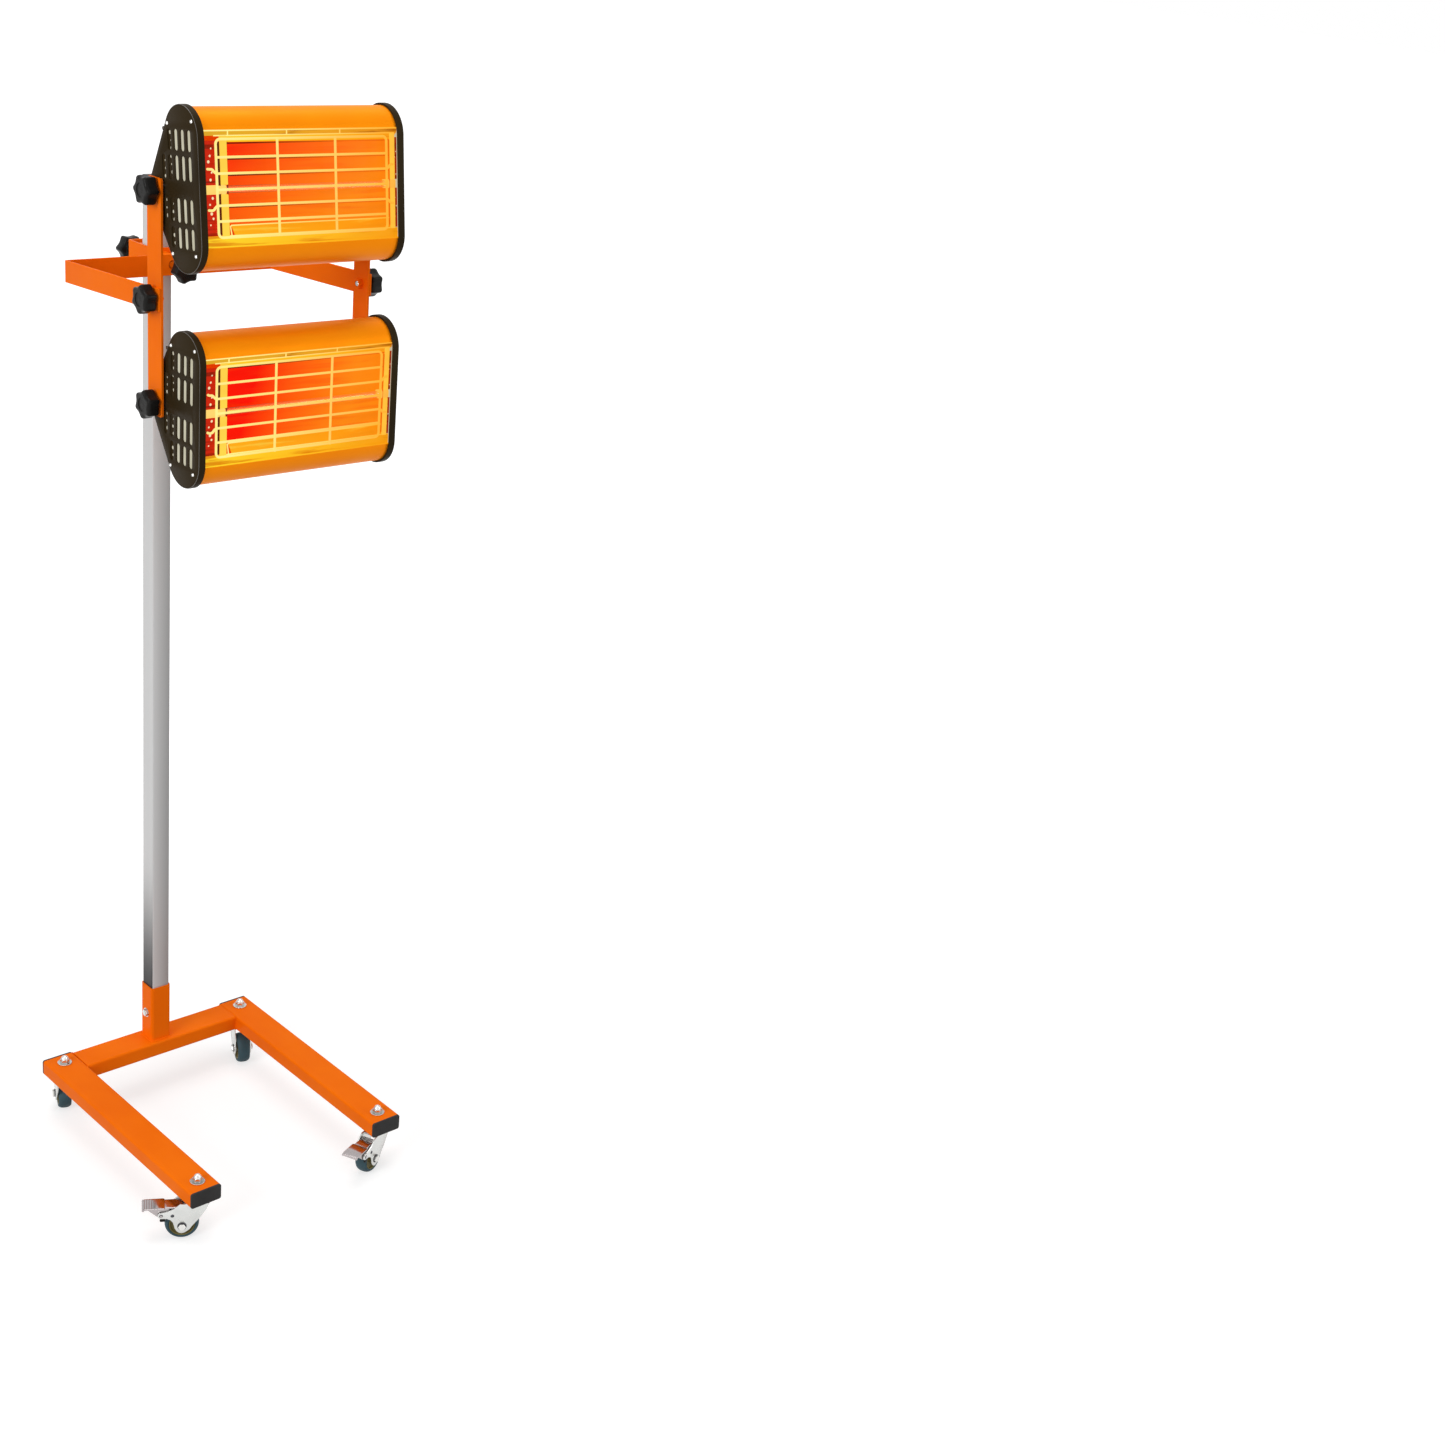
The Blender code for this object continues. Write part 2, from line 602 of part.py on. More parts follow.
def brake_pedal(name, swivel):
    """A foot pedal on its pin: a ribbed plate, two skirts down to the pin and a shoe bar at the tread."""
    skirt_outside = CHEEK_INSIDE - SEAT_GAP
    skirt_inside = skirt_outside - SKIRT_THICKNESS
    plate_top = PEDAL_RISE + PEDAL_THICKNESS
    wide = CHEEK_OUTSIDE
    neck = EAR_RADIUS + SEAT_GAP
    narrow = bmesh.new()
    spine = rectangle(
        (PEDAL_HEEL_REACH + PEDAL_TIP_REACH) / 2, PEDAL_THICKNESS / 2,
        ((PEDAL_TIP_REACH - PEDAL_HEEL_REACH) / 2, PEDAL_RISE + PEDAL_THICKNESS / 2),
    )
    bar_along_y(narrow, spine, -skirt_outside, skirt_outside)
    obj = piece(name, narrow, "bright zinc", swivel)
    obj.location = (PEDAL_PIN[0], 0, PEDAL_PIN[1])
    tread = bmesh.new()
    side_view = [
        (-neck, PEDAL_RISE), (PEDAL_TIP_REACH, PEDAL_RISE),
        (PEDAL_TIP_REACH, PEDAL_RISE - PEDAL_LIP_DROP),
        (PEDAL_TIP_REACH + PEDAL_THICKNESS, PEDAL_RISE - PEDAL_LIP_DROP),
        (PEDAL_TIP_REACH + PEDAL_THICKNESS, plate_top), (-neck, plate_top),
    ]
    bar_along_y(tread, side_view, -wide, wide)
    join(obj, tread)
    ribs = bmesh.new()
    for share in RIB_SHARES:
        centre = (share * PEDAL_TIP_REACH, plate_top)
        rib = rectangle(PEDAL_RIB_WIDTH / 2, PEDAL_RIB_HEIGHT, centre)
        bar_along_y(ribs, rib, BURY - wide, wide - BURY)
    join(obj, ribs)
    skirts = bmesh.new()
    outline = [(u * PEDAL_TIP_REACH, v * (PEDAL_RISE + BURY)) for u, v in SKIRT_SHARES]
    bar_along_y(skirts, outline, skirt_inside, skirt_outside)
    bar_along_y(skirts, outline, -skirt_outside, -skirt_inside)
    join(obj, skirts)
    bars = bmesh.new()
    reach = WHEEL_DIAMETER / 2 + SHOE_GAP + SHOE_DIAMETER / 2
    back = Vector((-PEDAL_PIN_REACH, -PEDAL_PIN_RISE))
    toward = Vector((PEDAL_PIN_REACH, PEDAL_PIN_RISE - SKIRT_THICKNESS * 2)).normalized()
    shoe = back + toward * reach
    bar_along_y(bars, circle(SHOE_DIAMETER / 2, WIRE_SIDES, shoe), BURY - skirt_outside, skirt_outside - BURY)
    join(obj, bars)
    arm = bmesh.new()
    half = SHOE_DIAMETER / 2
    link = [(shoe[0] - half, shoe[1]), (shoe[0] + half, shoe[1] - half / 2), (half, -half), (-half, half * 2)]
    bar_along_y(arm, link, skirt_inside + BURY / 2, skirt_outside - BURY / 2)
    bar_along_y(arm, link, BURY / 2 - skirt_outside, -skirt_inside - BURY / 2)
    join(obj, arm)
    pin_end = CHEEK_OUTSIDE + BURY
    join(obj, bar_along_y(bmesh.new(), circle(PEDAL_PIN_DIAMETER / 2, SMALL_SIDES), -pin_end, pin_end))


def caster(name, side, end, root):
    """One caster below a leg, turned to its own heading."""
    x = side * LEG_SPACING / 2
    y = LEG_FRONT + STEM_INSET if end < 0 else LEG_REAR - STEM_INSET
    braked = name in BRAKED
    caster_stem(f"caster_stem_{name}", x, y, root)
    swivel = empty(f"swivel_{name}", root, (x, y, 0), (0, 0, CASTER_TURNS[name]))
    caster_fork(f"caster_fork_{name}", braked, swivel)
    hub = empty(f"axle_{name}", swivel, (CASTER_TRAIL, 0, AXLE_HEIGHT))
    caster_wheel(name, hub)
    if braked:
        brake_pedal(f"brake_pedal_{name}", swivel)


def column_socket(root):
    """The short square tube that holds the column, with its cross bolt."""
    half = COLUMN_WIDTH / 2 + SEAT_GAP
    corner = COLUMN_CORNER + SEAT_GAP
    outside = half + SOCKET_WALL
    inner = rounded_rectangle(half, half, corner)
    outer = rounded_rectangle(outside, outside, corner + SOCKET_WALL)
    top = COLUMN_FOOT + SOCKET_HEIGHT
    rings = [at_z(outer, COLUMN_FOOT), at_z(outer, top), at_z(inner, top), at_z(inner, COLUMN_FOOT)]
    obj = piece("column_socket", loft(bmesh.new(), rings, closed=True), "orange paint", root)
    centre = (0, COLUMN_FOOT + SOCKET_BOLT_HEIGHT)
    shank = circle(SOCKET_BOLT_DIAMETER / 2, SMALL_SIDES, centre)
    end = outside + SOCKET_BOLT_HEAD
    join(obj, bar_along_x(bmesh.new(), shank, BURY - end, end - BURY))
    heads = bmesh.new()
    bar_along_x(heads, hexagon(SOCKET_BOLT_FLATS, centre), outside - SOCKET_WALL / 2, end)
    bar_along_x(heads, hexagon(SOCKET_BOLT_FLATS, centre), -end, SOCKET_WALL / 2 - outside)
    join(obj, heads)


def column(root):
    half = COLUMN_WIDTH / 2
    outer = rounded_rectangle(half, half, COLUMN_CORNER)
    inner = rounded_rectangle(half - COLUMN_WALL, half - COLUMN_WALL, COLUMN_CORNER - COLUMN_WALL)
    rings = [
        at_z(outer, COLUMN_FOOT), at_z(outer, COLUMN_TOP), at_z(inner, COLUMN_TOP), at_z(inner, COLUMN_FOOT)
    ]
    obj = piece("column", loft(bmesh.new(), rings, closed=True), "silver paint", root)
    hole = circle(SOCKET_BOLT_DIAMETER / 2 + SEAT_GAP, SMALL_SIDES, (0, COLUMN_FOOT + SOCKET_BOLT_HEIGHT))
    cut(obj, bar_along_x(bmesh.new(), hole, -half - OVERRUN, half + OVERRUN))


def column_cap(root):
    half = COLUMN_WIDTH / 2
    insert_half = half - COLUMN_WALL - SEAT_GAP
    flange = rounded_rectangle(half, half, COLUMN_CORNER)
    insert = rounded_rectangle(insert_half, insert_half, COLUMN_CORNER - COLUMN_WALL)
    seat = COLUMN_TOP + SEAT_GAP
    rings = [
        at_z(flange, seat + CAP_FLANGE), at_z(flange, seat), at_z(insert, seat),
        at_z(insert, COLUMN_TOP - CAP_INSERT),
    ]
    piece("column_cap", loft(bmesh.new(), rings), "black plastic", root)


def carriage(slide):
    """The sleeve round the column, its clamp pocket behind and its roll boss in front."""
    low, high = -SLEEVE_HEIGHT / 2, SLEEVE_HEIGHT / 2
    middle = (0, (SLEEVE_REAR - SLEEVE_FRONT) / 2)
    outline = rounded_rectangle(SLEEVE_FRONT, (SLEEVE_REAR + SLEEVE_FRONT) / 2, SLEEVE_CORNER, middle)
    obj = piece("carriage", bar_along_z(bmesh.new(), outline, low, high), "orange paint", slide)
    boss = circle(ROLL_BOSS_DIAMETER / 2, SIDES)
    join(obj, bar_along_y(bmesh.new(), boss, -SLEEVE_FRONT - ROLL_BOSS_LENGTH, BURY - SLEEVE_FRONT))
    nut = circle(CLAMP_BOSS_DIAMETER / 2, SIDES)
    join(obj, bar_along_y(bmesh.new(), nut, SLEEVE_REAR - BURY, SLEEVE_REAR + CLAMP_BOSS_LENGTH))
    hollows = bmesh.new()
    bar_along_z(hollows, rectangle(SLEEVE_BORE, SLEEVE_BORE), low - OVERRUN, high + OVERRUN)
    pocket_half = (CLAMP_SPACE - SLEEVE_WALL) / 2
    pocket = rectangle(SLEEVE_BORE, pocket_half, (0, SLEEVE_REAR - SLEEVE_WALL - pocket_half))
    bar_along_z(hollows, pocket, low - OVERRUN, high + OVERRUN)
    cut(obj, hollows)
    bore = circle(SCREW_BORE, SMALL_SIDES)
    cut(obj, bar_along_y(bmesh.new(), bore, 0, SLEEVE_REAR + CLAMP_BOSS_LENGTH + OVERRUN))
    cut(obj, bar_along_y(bmesh.new(), bore, -SLEEVE_FRONT - ROLL_BOSS_LENGTH - OVERRUN, BURY - SLEEVE_BORE))


def yoke(roll):
    """The bent flat strap: a back bar across the carriage and an arm outside each upright, rising forward."""
    arm_end = -PIVOT_REACH - BAR_WIDTH / 2
    slope = ARM_RISE / (PIVOT_REACH - YOKE_BACK)
    rising = Matrix(((1, 0, 0, 0), (0, 1, 0, 0), (0, -slope, 1, -slope * YOKE_BACK), (0, 0, 0, 1)))
    outline = [
        (-ARM_OUTSIDE, arm_end), (-ARM_INSIDE, arm_end), (-ARM_INSIDE, -YOKE_FACE),
        (ARM_INSIDE, -YOKE_FACE), (ARM_INSIDE, arm_end), (ARM_OUTSIDE, arm_end),
        (ARM_OUTSIDE, -YOKE_BACK), (-ARM_OUTSIDE, -YOKE_BACK),
    ]
    strap = bar_along_z(bmesh.new(), outline, -YOKE_HEIGHT / 2, YOKE_HEIGHT / 2)
    strap.transform(rising)
    obj = piece("yoke", strap, "orange paint", roll)
    bore = circle(SCREW_BORE, SMALL_SIDES)
    cut(obj, bar_along_y(bmesh.new(), bore, -YOKE_FACE - OVERRUN, OVERRUN - YOKE_BACK))
    holes = bmesh.new()
    for low, high in ((-ARM_OUTSIDE, -ARM_INSIDE), (ARM_INSIDE, ARM_OUTSIDE)):
        hole = circle(SCREW_BORE, SMALL_SIDES, (-PIVOT_REACH, ARM_RISE))
        bar_along_x(holes, hole, low - OVERRUN, high + OVERRUN)
    cut(obj, holes)


def upright_bar(name, side, frame):
    """A flat upright that carries one side of both heads, with a weld nut at its middle hole."""
    half_length = PIVOT_PITCH + BAR_OVERHANG
    outline = rounded_rectangle(BAR_WIDTH / 2, half_length, BAR_CORNER)
    low, high = sorted((side * BAR_INSIDE, side * BAR_OUTSIDE))
    obj = piece(name, bar_along_x(bmesh.new(), outline, low, high), "orange paint", frame)
    low, high = sorted((side * (BAR_INSIDE - WELD_NUT_HEIGHT), side * (BAR_INSIDE + BURY)))
    join(obj, bar_along_x(bmesh.new(), hexagon(WELD_NUT_FLATS), low, high))
    holes = bmesh.new()
    low, high = sorted((side * (BAR_INSIDE - WELD_NUT_HEIGHT - OVERRUN), side * (BAR_OUTSIDE + OVERRUN)))
    for z in (-PIVOT_PITCH, 0, PIVOT_PITCH):
        bar_along_x(holes, circle(SCREW_BORE, SMALL_SIDES, (0, z)), low, high)
    cut(obj, holes)


def star_knob(name, neck, reach, parent, location, turn):
    """A lobed knob with its screw. Its own Z points out of the piece that it clamps."""
    count = KNOB_LOBES * POINTS_PER_LOBE
    middle = (KNOB_DIAMETER + KNOB_WAIST) / 4
    swing = (KNOB_DIAMETER - KNOB_WAIST) / 4

    def star(inset):
        turns = [2 * math.pi * i / count for i in range(count)]
        sizes = [middle + swing * math.cos(KNOB_LOBES * t) - inset for t in turns]
        return [(size * math.cos(t), size * math.sin(t)) for size, t in zip(sizes, turns)]

    screw = circle(SCREW_DIAMETER / 2, count)
    hub = circle(KNOB_HUB_DIAMETER / 2, count)
    seat = SEAT_GAP
    base = seat + neck
    low = base + KNOB_HUB_HEIGHT
    high = low + KNOB_THICKNESS
    rings = [at_z(screw, -reach)]
    if neck:
        collar = circle(NECK_DIAMETER / 2, count)
        rings += [at_z(screw, seat), at_z(collar, seat), at_z(collar, base)]
    else:
        rings += [at_z(screw, base)]
    rings += [
        at_z(hub, base), at_z(hub, low), at_z(star(0), low + KNOB_EDGE), at_z(star(0), high - KNOB_EDGE),
        at_z(star(KNOB_EDGE), high),
    ]
    obj = piece(name, loft(bmesh.new(), rings), "black plastic", parent)
    obj.location = location
    obj.rotation_euler = turn


def head_discs(inset):
    """The centres and radii of the crown, hinge and lower crown discs, drawn in by an inset."""
    return (
        ((-CROWN_REACH, CROWN_LIFT + CROWN_HALF_PITCH), CROWN_RADIUS - inset),
        ((0, 0), HINGE_RADIUS - inset),
        ((-CROWN_REACH, CROWN_LIFT - CROWN_HALF_PITCH), CROWN_RADIUS - inset),
    )


def slope_angle(first, second):
    """The direction, in Y and Z, that faces out from the line which touches two discs going clockwise."""
    (ay, az), a_radius = first
    (by, bz), b_radius = second
    along = math.atan2(bz - az, by - ay)
    return along + math.acos((a_radius - b_radius) / math.hypot(by - ay, bz - az))


def arc(disc, start, end, steps):
    (y, z), radius = disc
    turns = [start + (end - start) * i / steps for i in range(steps + 1)]
    return [(y + radius * math.cos(t), z + radius * math.sin(t)) for t in turns]


def head_outline(inset):
    """The head from its side, clockwise from the front of the upper crown to that of the lower."""
    upper, hinge, lower = head_discs(inset)
    rear_upper = slope_angle(upper, hinge)
    rear_lower = slope_angle(hinge, lower)
    return (
        arc(upper, math.pi, rear_upper, CROWN_STEPS)
        + arc(hinge, rear_upper, rear_lower, HINGE_STEPS)
        + arc(lower, rear_lower, -math.pi, CROWN_STEPS)
    )


def open_at_mouth(outline):
    """The part of a head outline that runs from the mouth's top edge round the back to its foot."""
    high, low = CROWN_LIFT + MOUTH_HALF_HEIGHT, CROWN_LIFT - MOUTH_HALF_HEIGHT
    first = next(i for i, (_, z) in enumerate(outline) if z > high)
    last = max(i for i, (_, z) in enumerate(outline) if z < low)
    ends = []
    for i, z in ((first, high), (last + 1, low)):
        (y0, z0), (y1, z1) = outline[i - 1], outline[i % len(outline)]
        ends.append((y0 + (y1 - y0) * (z - z0) / (z1 - z0), z))
    return [ends[0]] + outline[first:last + 1] + [ends[1]]


def span_at(outline, y):
    """The lowest and highest points of a closed outline at this Y."""
    found = []
    for (y0, z0), (y1, z1) in zip(outline, outline[1:] + outline[:1]):
        if (y0 - y) * (y1 - y) < 0:
            found.append(z0 + (z1 - z0) * (y - y0) / (y1 - y0))
    return min(found), max(found)


def stadium(y, low, high):
    """An upright slot's outline with round ends."""
    radius = SLOT_WIDTH / 2
    top = arc(((y, high - radius), radius), 0, math.pi, SLOT_END_STEPS)
    bottom = arc(((y, low + radius), radius), math.pi, 2 * math.pi, SLOT_END_STEPS)
    return top + bottom


def vent_slots(bm, low_x, high_x):
    """Rows of upright slots, each kept inside the cover's outline."""
    limits = head_outline(COVER_RIM + SLOT_MARGIN)
    inner = SLOT_MIDDLE_GAP / 2
    outer = inner + SLOT_INNER_LENGTH + SLOT_BRIDGE
    rows = ((inner, inner + SLOT_INNER_LENGTH), (outer, outer + SLOT_OUTER_LENGTH))
    for column_number in range(SLOT_COLUMNS):
        y = HEAD_FRONT + SLOT_START + column_number * SLOT_PITCH
        floor, ceiling = span_at(limits, y)
        for near, far in rows:
            for low, high in ((CROWN_LIFT + near, CROWN_LIFT + far), (CROWN_LIFT - far, CROWN_LIFT - near)):
                low, high = max(low, floor), min(high, ceiling)
                if high - low > 2 * SLOT_WIDTH:
                    bar_along_x(bm, stadium(y, low, high), low_x, high_x)


def end_cover(name, side, head):
    """A black end cover: a slotted plate with a rim that holds the shell and a boss at the hinge."""
    outer = head_outline(0)
    inner = head_outline(COVER_RIM)
    rim_end = side * (COVER_FACE - COVER_DEPTH)
    floor = side * (COVER_FACE - COVER_PLATE)
    rings = [at_x(outer, side * COVER_FACE), at_x(outer, rim_end), at_x(inner, rim_end), at_x(inner, floor)]
    obj = piece(name, loft(bmesh.new(), rings), "black covers", head)
    low, high = sorted((side * (COVER_FACE - BURY), side * (COVER_FACE + PIVOT_BOSS_HEIGHT)))
    join(obj, bar_along_x(bmesh.new(), circle(PIVOT_BOSS_DIAMETER / 2, SMALL_SIDES), low, high))
    low, high = sorted((floor - side * OVERRUN, side * (COVER_FACE + PIVOT_BOSS_HEIGHT + OVERRUN)))
    openings = bar_along_x(bmesh.new(), circle(SCREW_BORE, SMALL_SIDES), low, high)
    vent_slots(openings, low, high)
    cut(obj, openings)


def slope_frame(disc_number, share, x):
    """A frame on a rear slope of the shell: its Z faces out and its X runs along the head."""
    discs = head_discs(COVER_RIM + SEAT_GAP)
    first, second = discs[disc_number], discs[disc_number + 1]
    angle = slope_angle(first, second)
    out = Vector((0, math.cos(angle), math.sin(angle)))
    start = Vector((0, *first[0])) + out * first[1]
    finish = Vector((0, *second[0])) + out * second[1]
    along = Vector((1, 0, 0))
    frame = Matrix((along, out.cross(along), out)).transposed().to_4x4()
    frame.translation = start.lerp(finish, share) + along * x
    return frame


def head_shell(name, head):
    """The orange sheet wrapped from the top of the mouth round the back to its foot."""
    inset = COVER_RIM + SEAT_GAP
    half = COVER_FACE - COVER_PLATE - SEAT_GAP
    outer = open_at_mouth(head_outline(inset))
    inner = open_at_mouth(head_outline(inset + SHELL_WALL))
    obj = piece(name, bar_along_x(bmesh.new(), outer + inner[::-1], -half, half), "orange paint", head)
    rocker_hole = rectangle(ROCKER_WIDTH / 2 + RUNNING_GAP, ROCKER_LENGTH / 2 + RUNNING_GAP)
    window = bar_along_z(bmesh.new(), rocker_hole, -SHELL_WALL - OVERRUN, OVERRUN)
    window.transform(slope_frame(0, ROCKER_SLOPE_SHARE, ROCKER_OFFSET))
    cut(obj, window)
    gland_hole = circle(GLAND_THREAD_DIAMETER / 2 + SEAT_GAP, SMALL_SIDES)
    round_hole = bar_along_z(bmesh.new(), gland_hole, -SHELL_WALL - OVERRUN, OVERRUN)
    round_hole.transform(slope_frame(1, GLAND_SLOPE_SHARE, 0))
    cut(obj, round_hole)


def reflector(name, head):
    """A flanged tray of polished sheet, notched at both ends for the tube holders."""
    half_width = COVER_FACE - COVER_PLATE - SEAT_GAP
    _, ceiling = span_at(head_outline(COVER_RIM + SEAT_GAP + SHELL_WALL), FLANGE_PLANE)
    half_height = ceiling - CROWN_LIFT - SEAT_GAP
    centre = (0, CROWN_LIFT)
    flange = rectangle(half_width, half_height, centre)
    mouth = rectangle(TROUGH_MOUTH_HALF_WIDTH, TROUGH_MOUTH_HALF_HEIGHT, centre)
    floor = rectangle(TROUGH_FLOOR_HALF_WIDTH, TROUGH_FLOOR_HALF_HEIGHT, centre)
    outside = REFLECTOR_SHEET
    mouth_back = rectangle(TROUGH_MOUTH_HALF_WIDTH + outside, TROUGH_MOUTH_HALF_HEIGHT, centre)
    floor_back = rectangle(TROUGH_FLOOR_HALF_WIDTH + outside, TROUGH_FLOOR_HALF_HEIGHT, centre)
    bottom = FLANGE_PLANE + TROUGH_DEPTH
    rings = [
        at_y(floor, bottom), at_y(mouth, FLANGE_PLANE), at_y(flange, FLANGE_PLANE),
        at_y(flange, FLANGE_PLANE + outside), at_y(mouth_back, FLANGE_PLANE + outside),
        at_y(floor_back, bottom + outside),
    ]
    obj = piece(name, loft(bmesh.new(), rings), "polished reflector", head)
    notches = bmesh.new()
    for side in (-1, 1):
        low, high = sorted(
            (side * (HOLDER_START - SEAT_GAP), side * (HOLDER_START + HOLDER_LENGTH + SEAT_GAP))
        )
        notch = rectangle((high - low) / 2, HOLDER_HEIGHT / 2 + SEAT_GAP, ((high + low) / 2, CROWN_LIFT))
        bar_along_y(notches, notch, FLANGE_PLANE - OVERRUN, bottom + outside + OVERRUN)
    cut(obj, notches)


def guard_rung(number):
    """The points of one rung. The second and fourth step outwards at their ends and hook back."""
    spacing = 2 * GUARD_HALF_HEIGHT / (GUARD_RUNGS + 1)
    z = CROWN_LIFT + GUARD_HALF_HEIGHT - (number + 1) * spacing
    if number % 2 == 0:
        return [(-GUARD_HALF_WIDTH, WIRE_PLANE, z), (GUARD_HALF_WIDTH, WIRE_PLANE, z)]
    bend = GUARD_HALF_WIDTH + HOOK_REACH / 2
    tip = GUARD_HALF_WIDTH + HOOK_REACH
    foot = FLANGE_PLANE - SEAT_GAP
    half = [(bend, WIRE_PLANE, z), (tip, WIRE_PLANE, z + HOOK_RISE), (tip, foot, z + HOOK_RISE)]
    return [(-x, y, z) for x, y, z in reversed(half)] + half


def guard(name, head):
    """A welded wire guard: a frame, five rungs and two uprights."""
    rungs = bmesh.new()
    for number in range(GUARD_RUNGS):
        wire(rungs, guard_rung(number))
    obj = piece(name, rungs, "guard wire", head)
    frame = rounded_rectangle(GUARD_HALF_WIDTH, GUARD_HALF_HEIGHT, GUARD_CORNER, (0, CROWN_LIFT))
    join(obj, wire(bmesh.new(), at_y(frame, WIRE_PLANE), closed=True))
    uprights = bmesh.new()
    plane = WIRE_PLANE - WIRE_CROSSING
    for x in (-GUARD_UPRIGHT_OFFSET, GUARD_UPRIGHT_OFFSET):
        foot, tip = CROWN_LIFT - GUARD_HALF_HEIGHT - BURY, CROWN_LIFT + GUARD_HALF_HEIGHT + BURY
        wire(uprights, [(x, plane, foot), (x, plane, tip)])
    join(obj, uprights)


def quartz_tube(name, head):
    end = HOLDER_START - SEAT_GAP
    section = circle(TUBE_DIAMETER / 2, SMALL_SIDES, (TUBE_PLANE, CROWN_LIFT))
    piece(name, bar_along_x(bmesh.new(), section, -end, end), "glowing quartz", head)


def tube_holder(name, side, head):
    """A ceramic block in the reflector's notch that carries one end of the quartz tube."""
    low, high = TUBE_PLANE - HOLDER_FRONT, TUBE_PLANE + HOLDER_BACK
    section = rounded_rectangle(
        (high - low) / 2, HOLDER_HEIGHT / 2, HOLDER_CORNER, ((low + high) / 2, CROWN_LIFT)
    )
    near, far = sorted((side * HOLDER_START, side * (HOLDER_START + HOLDER_LENGTH)))
    piece(name, bar_along_x(bmesh.new(), section, near, far), "ceramic", head)


def rocker_switch(name, head):
    """A rocker in its window in the shell, resting in its pressed position."""
    half = ROCKER_LENGTH / 2
    outline = [
        (-half, -ROCKER_SUNK), (half, -ROCKER_SUNK), (half, ROCKER_PROUD), (0, ROCKER_PROUD / 2),
        (-half, ROCKER_PROUD),
    ]
    bm = prism(bmesh.new(), at_x(outline, -ROCKER_WIDTH / 2), (ROCKER_WIDTH, 0, 0))
    obj = piece(name, bm, "black plastic", head)
    tilt = Matrix.Rotation(math.radians(ROCKER_TILT), 4, "X")
    obj.matrix_local = slope_frame(0, ROCKER_SLOPE_SHARE, ROCKER_OFFSET) @ tilt


def cord_gland(name, head):
    """The gland that the supply cord would leave by, with its bore open."""
    bore = GLAND_BORE / 2
    top = SEAT_GAP + GLAND_FLANGE + GLAND_BODY_LENGTH
    profile = (
        (bore, -GLAND_THREAD_LENGTH), (GLAND_THREAD_DIAMETER / 2, -GLAND_THREAD_LENGTH),
        (GLAND_THREAD_DIAMETER / 2, SEAT_GAP), (GLAND_DIAMETER / 2, SEAT_GAP),
        (GLAND_DIAMETER / 2, SEAT_GAP + GLAND_FLANGE), (GLAND_BODY_DIAMETER / 2, SEAT_GAP + GLAND_FLANGE),
        (GLAND_BODY_DIAMETER / 2, top), (bore, top),
    )
    obj = piece(name, turned(profile, SMALL_SIDES, closed=True), "black plastic", head)
    obj.matrix_local = slope_frame(1, GLAND_SLOPE_SHARE, 0)


def heater_head(place, frame, height):
    """One heater on its hinge axis, with the two knobs that hold it."""
    head = empty(f"head_{place}", frame, (0, 0, height), (HEAD_TILTS[place], 0, 0))
    head_shell(f"{place}_shell", head)
    reflector(f"{place}_reflector", head)
    guard(f"{place}_guard", head)
    quartz_tube(f"{place}_quartz_tube", head)
    rocker_switch(f"{place}_rocker_switch", head)
    cord_gland(f"{place}_cord_gland", head)
    for hand, side in (("left", -1), ("right", 1)):
        end_cover(f"{place}_cover_{hand}", side, head)
        tube_holder(f"{place}_tube_holder_{hand}", side, head)
        star_knob(
            f"{place}_head_knob_{hand}", 0, HEAD_SCREW_REACH, frame,
            (side * BAR_OUTSIDE, 0, height), (0, side * math.pi / 2, 0),
        )


def base(root):
    for hand, side in (("left", -1), ("right", 1)):
        leg(f"leg_{hand}", side, root)
        for place, end in (("front", -1), ("rear", 1)):
            leg_plug(f"leg_plug_{place}_{hand}", side, end, root)
            caster(f"{place}_{hand}", side, end, root)
    cross_tube(root)
    column_socket(root)
    column(root)
    column_cap(root)


def lamp_carrier(root):
    """The carriage on the column, the yoke on the carriage and the frame of uprights on the yoke."""
    slide = empty("slide", root, (0, 0, YOKE_CENTRE_HEIGHT))
    carriage(slide)
    clamp_seat = SLEEVE_REAR + CLAMP_BOSS_LENGTH
    clamp_reach = clamp_seat - COLUMN_WIDTH / 2 - SEAT_GAP
    star_knob("clamp_knob", CLAMP_NECK, clamp_reach, slide, (0, clamp_seat, 0), (-math.pi / 2, 0, 0))
    roll = empty("roll", slide, (0, 0, 0))
    yoke(roll)
    roll_reach = YOKE_FACE - SLEEVE_FRONT
    star_knob("roll_knob", ROLL_NECK, roll_reach, roll, (0, -YOKE_FACE, 0), (math.pi / 2, 0, 0))
    frame = empty("frame_tilt", roll, (0, -PIVOT_REACH, ARM_RISE), (FRAME_LEAN, 0, 0))
    tilt_reach = ARM_OUTSIDE - BAR_INSIDE + WELD_NUT_HEIGHT
    for hand, side in (("left", -1), ("right", 1)):
        upright_bar(f"upright_bar_{hand}", side, frame)
        star_knob(
            f"frame_tilt_knob_{hand}", 0, tilt_reach, roll,
            (side * ARM_OUTSIDE, -PIVOT_REACH, ARM_RISE), (0, side * math.pi / 2, 0),
        )
    heater_head("upper", frame, PIVOT_PITCH)
    heater_head("lower", frame, -PIVOT_PITCH)


def centre_over_origin(root):
    """Move the whole lamp so that its box is centred over the origin and stands on the floor."""
    bpy.context.view_layer.update()
    graph = bpy.context.evaluated_depsgraph_get()
    corners = []
    for obj in bpy.data.objects:
        if obj.type == "MESH" and not obj.hide_render:
            shape = obj.evaluated_get(graph)
            corners += [shape.matrix_world @ vert.co for vert in shape.data.vertices]
    low = [min(corner[i] for corner in corners) for i in range(3)]
    high = [max(corner[i] for corner in corners) for i in range(3)]
    root.location = (-(low[0] + high[0]) / 2, -(low[1] + high[1]) / 2, -low[2])


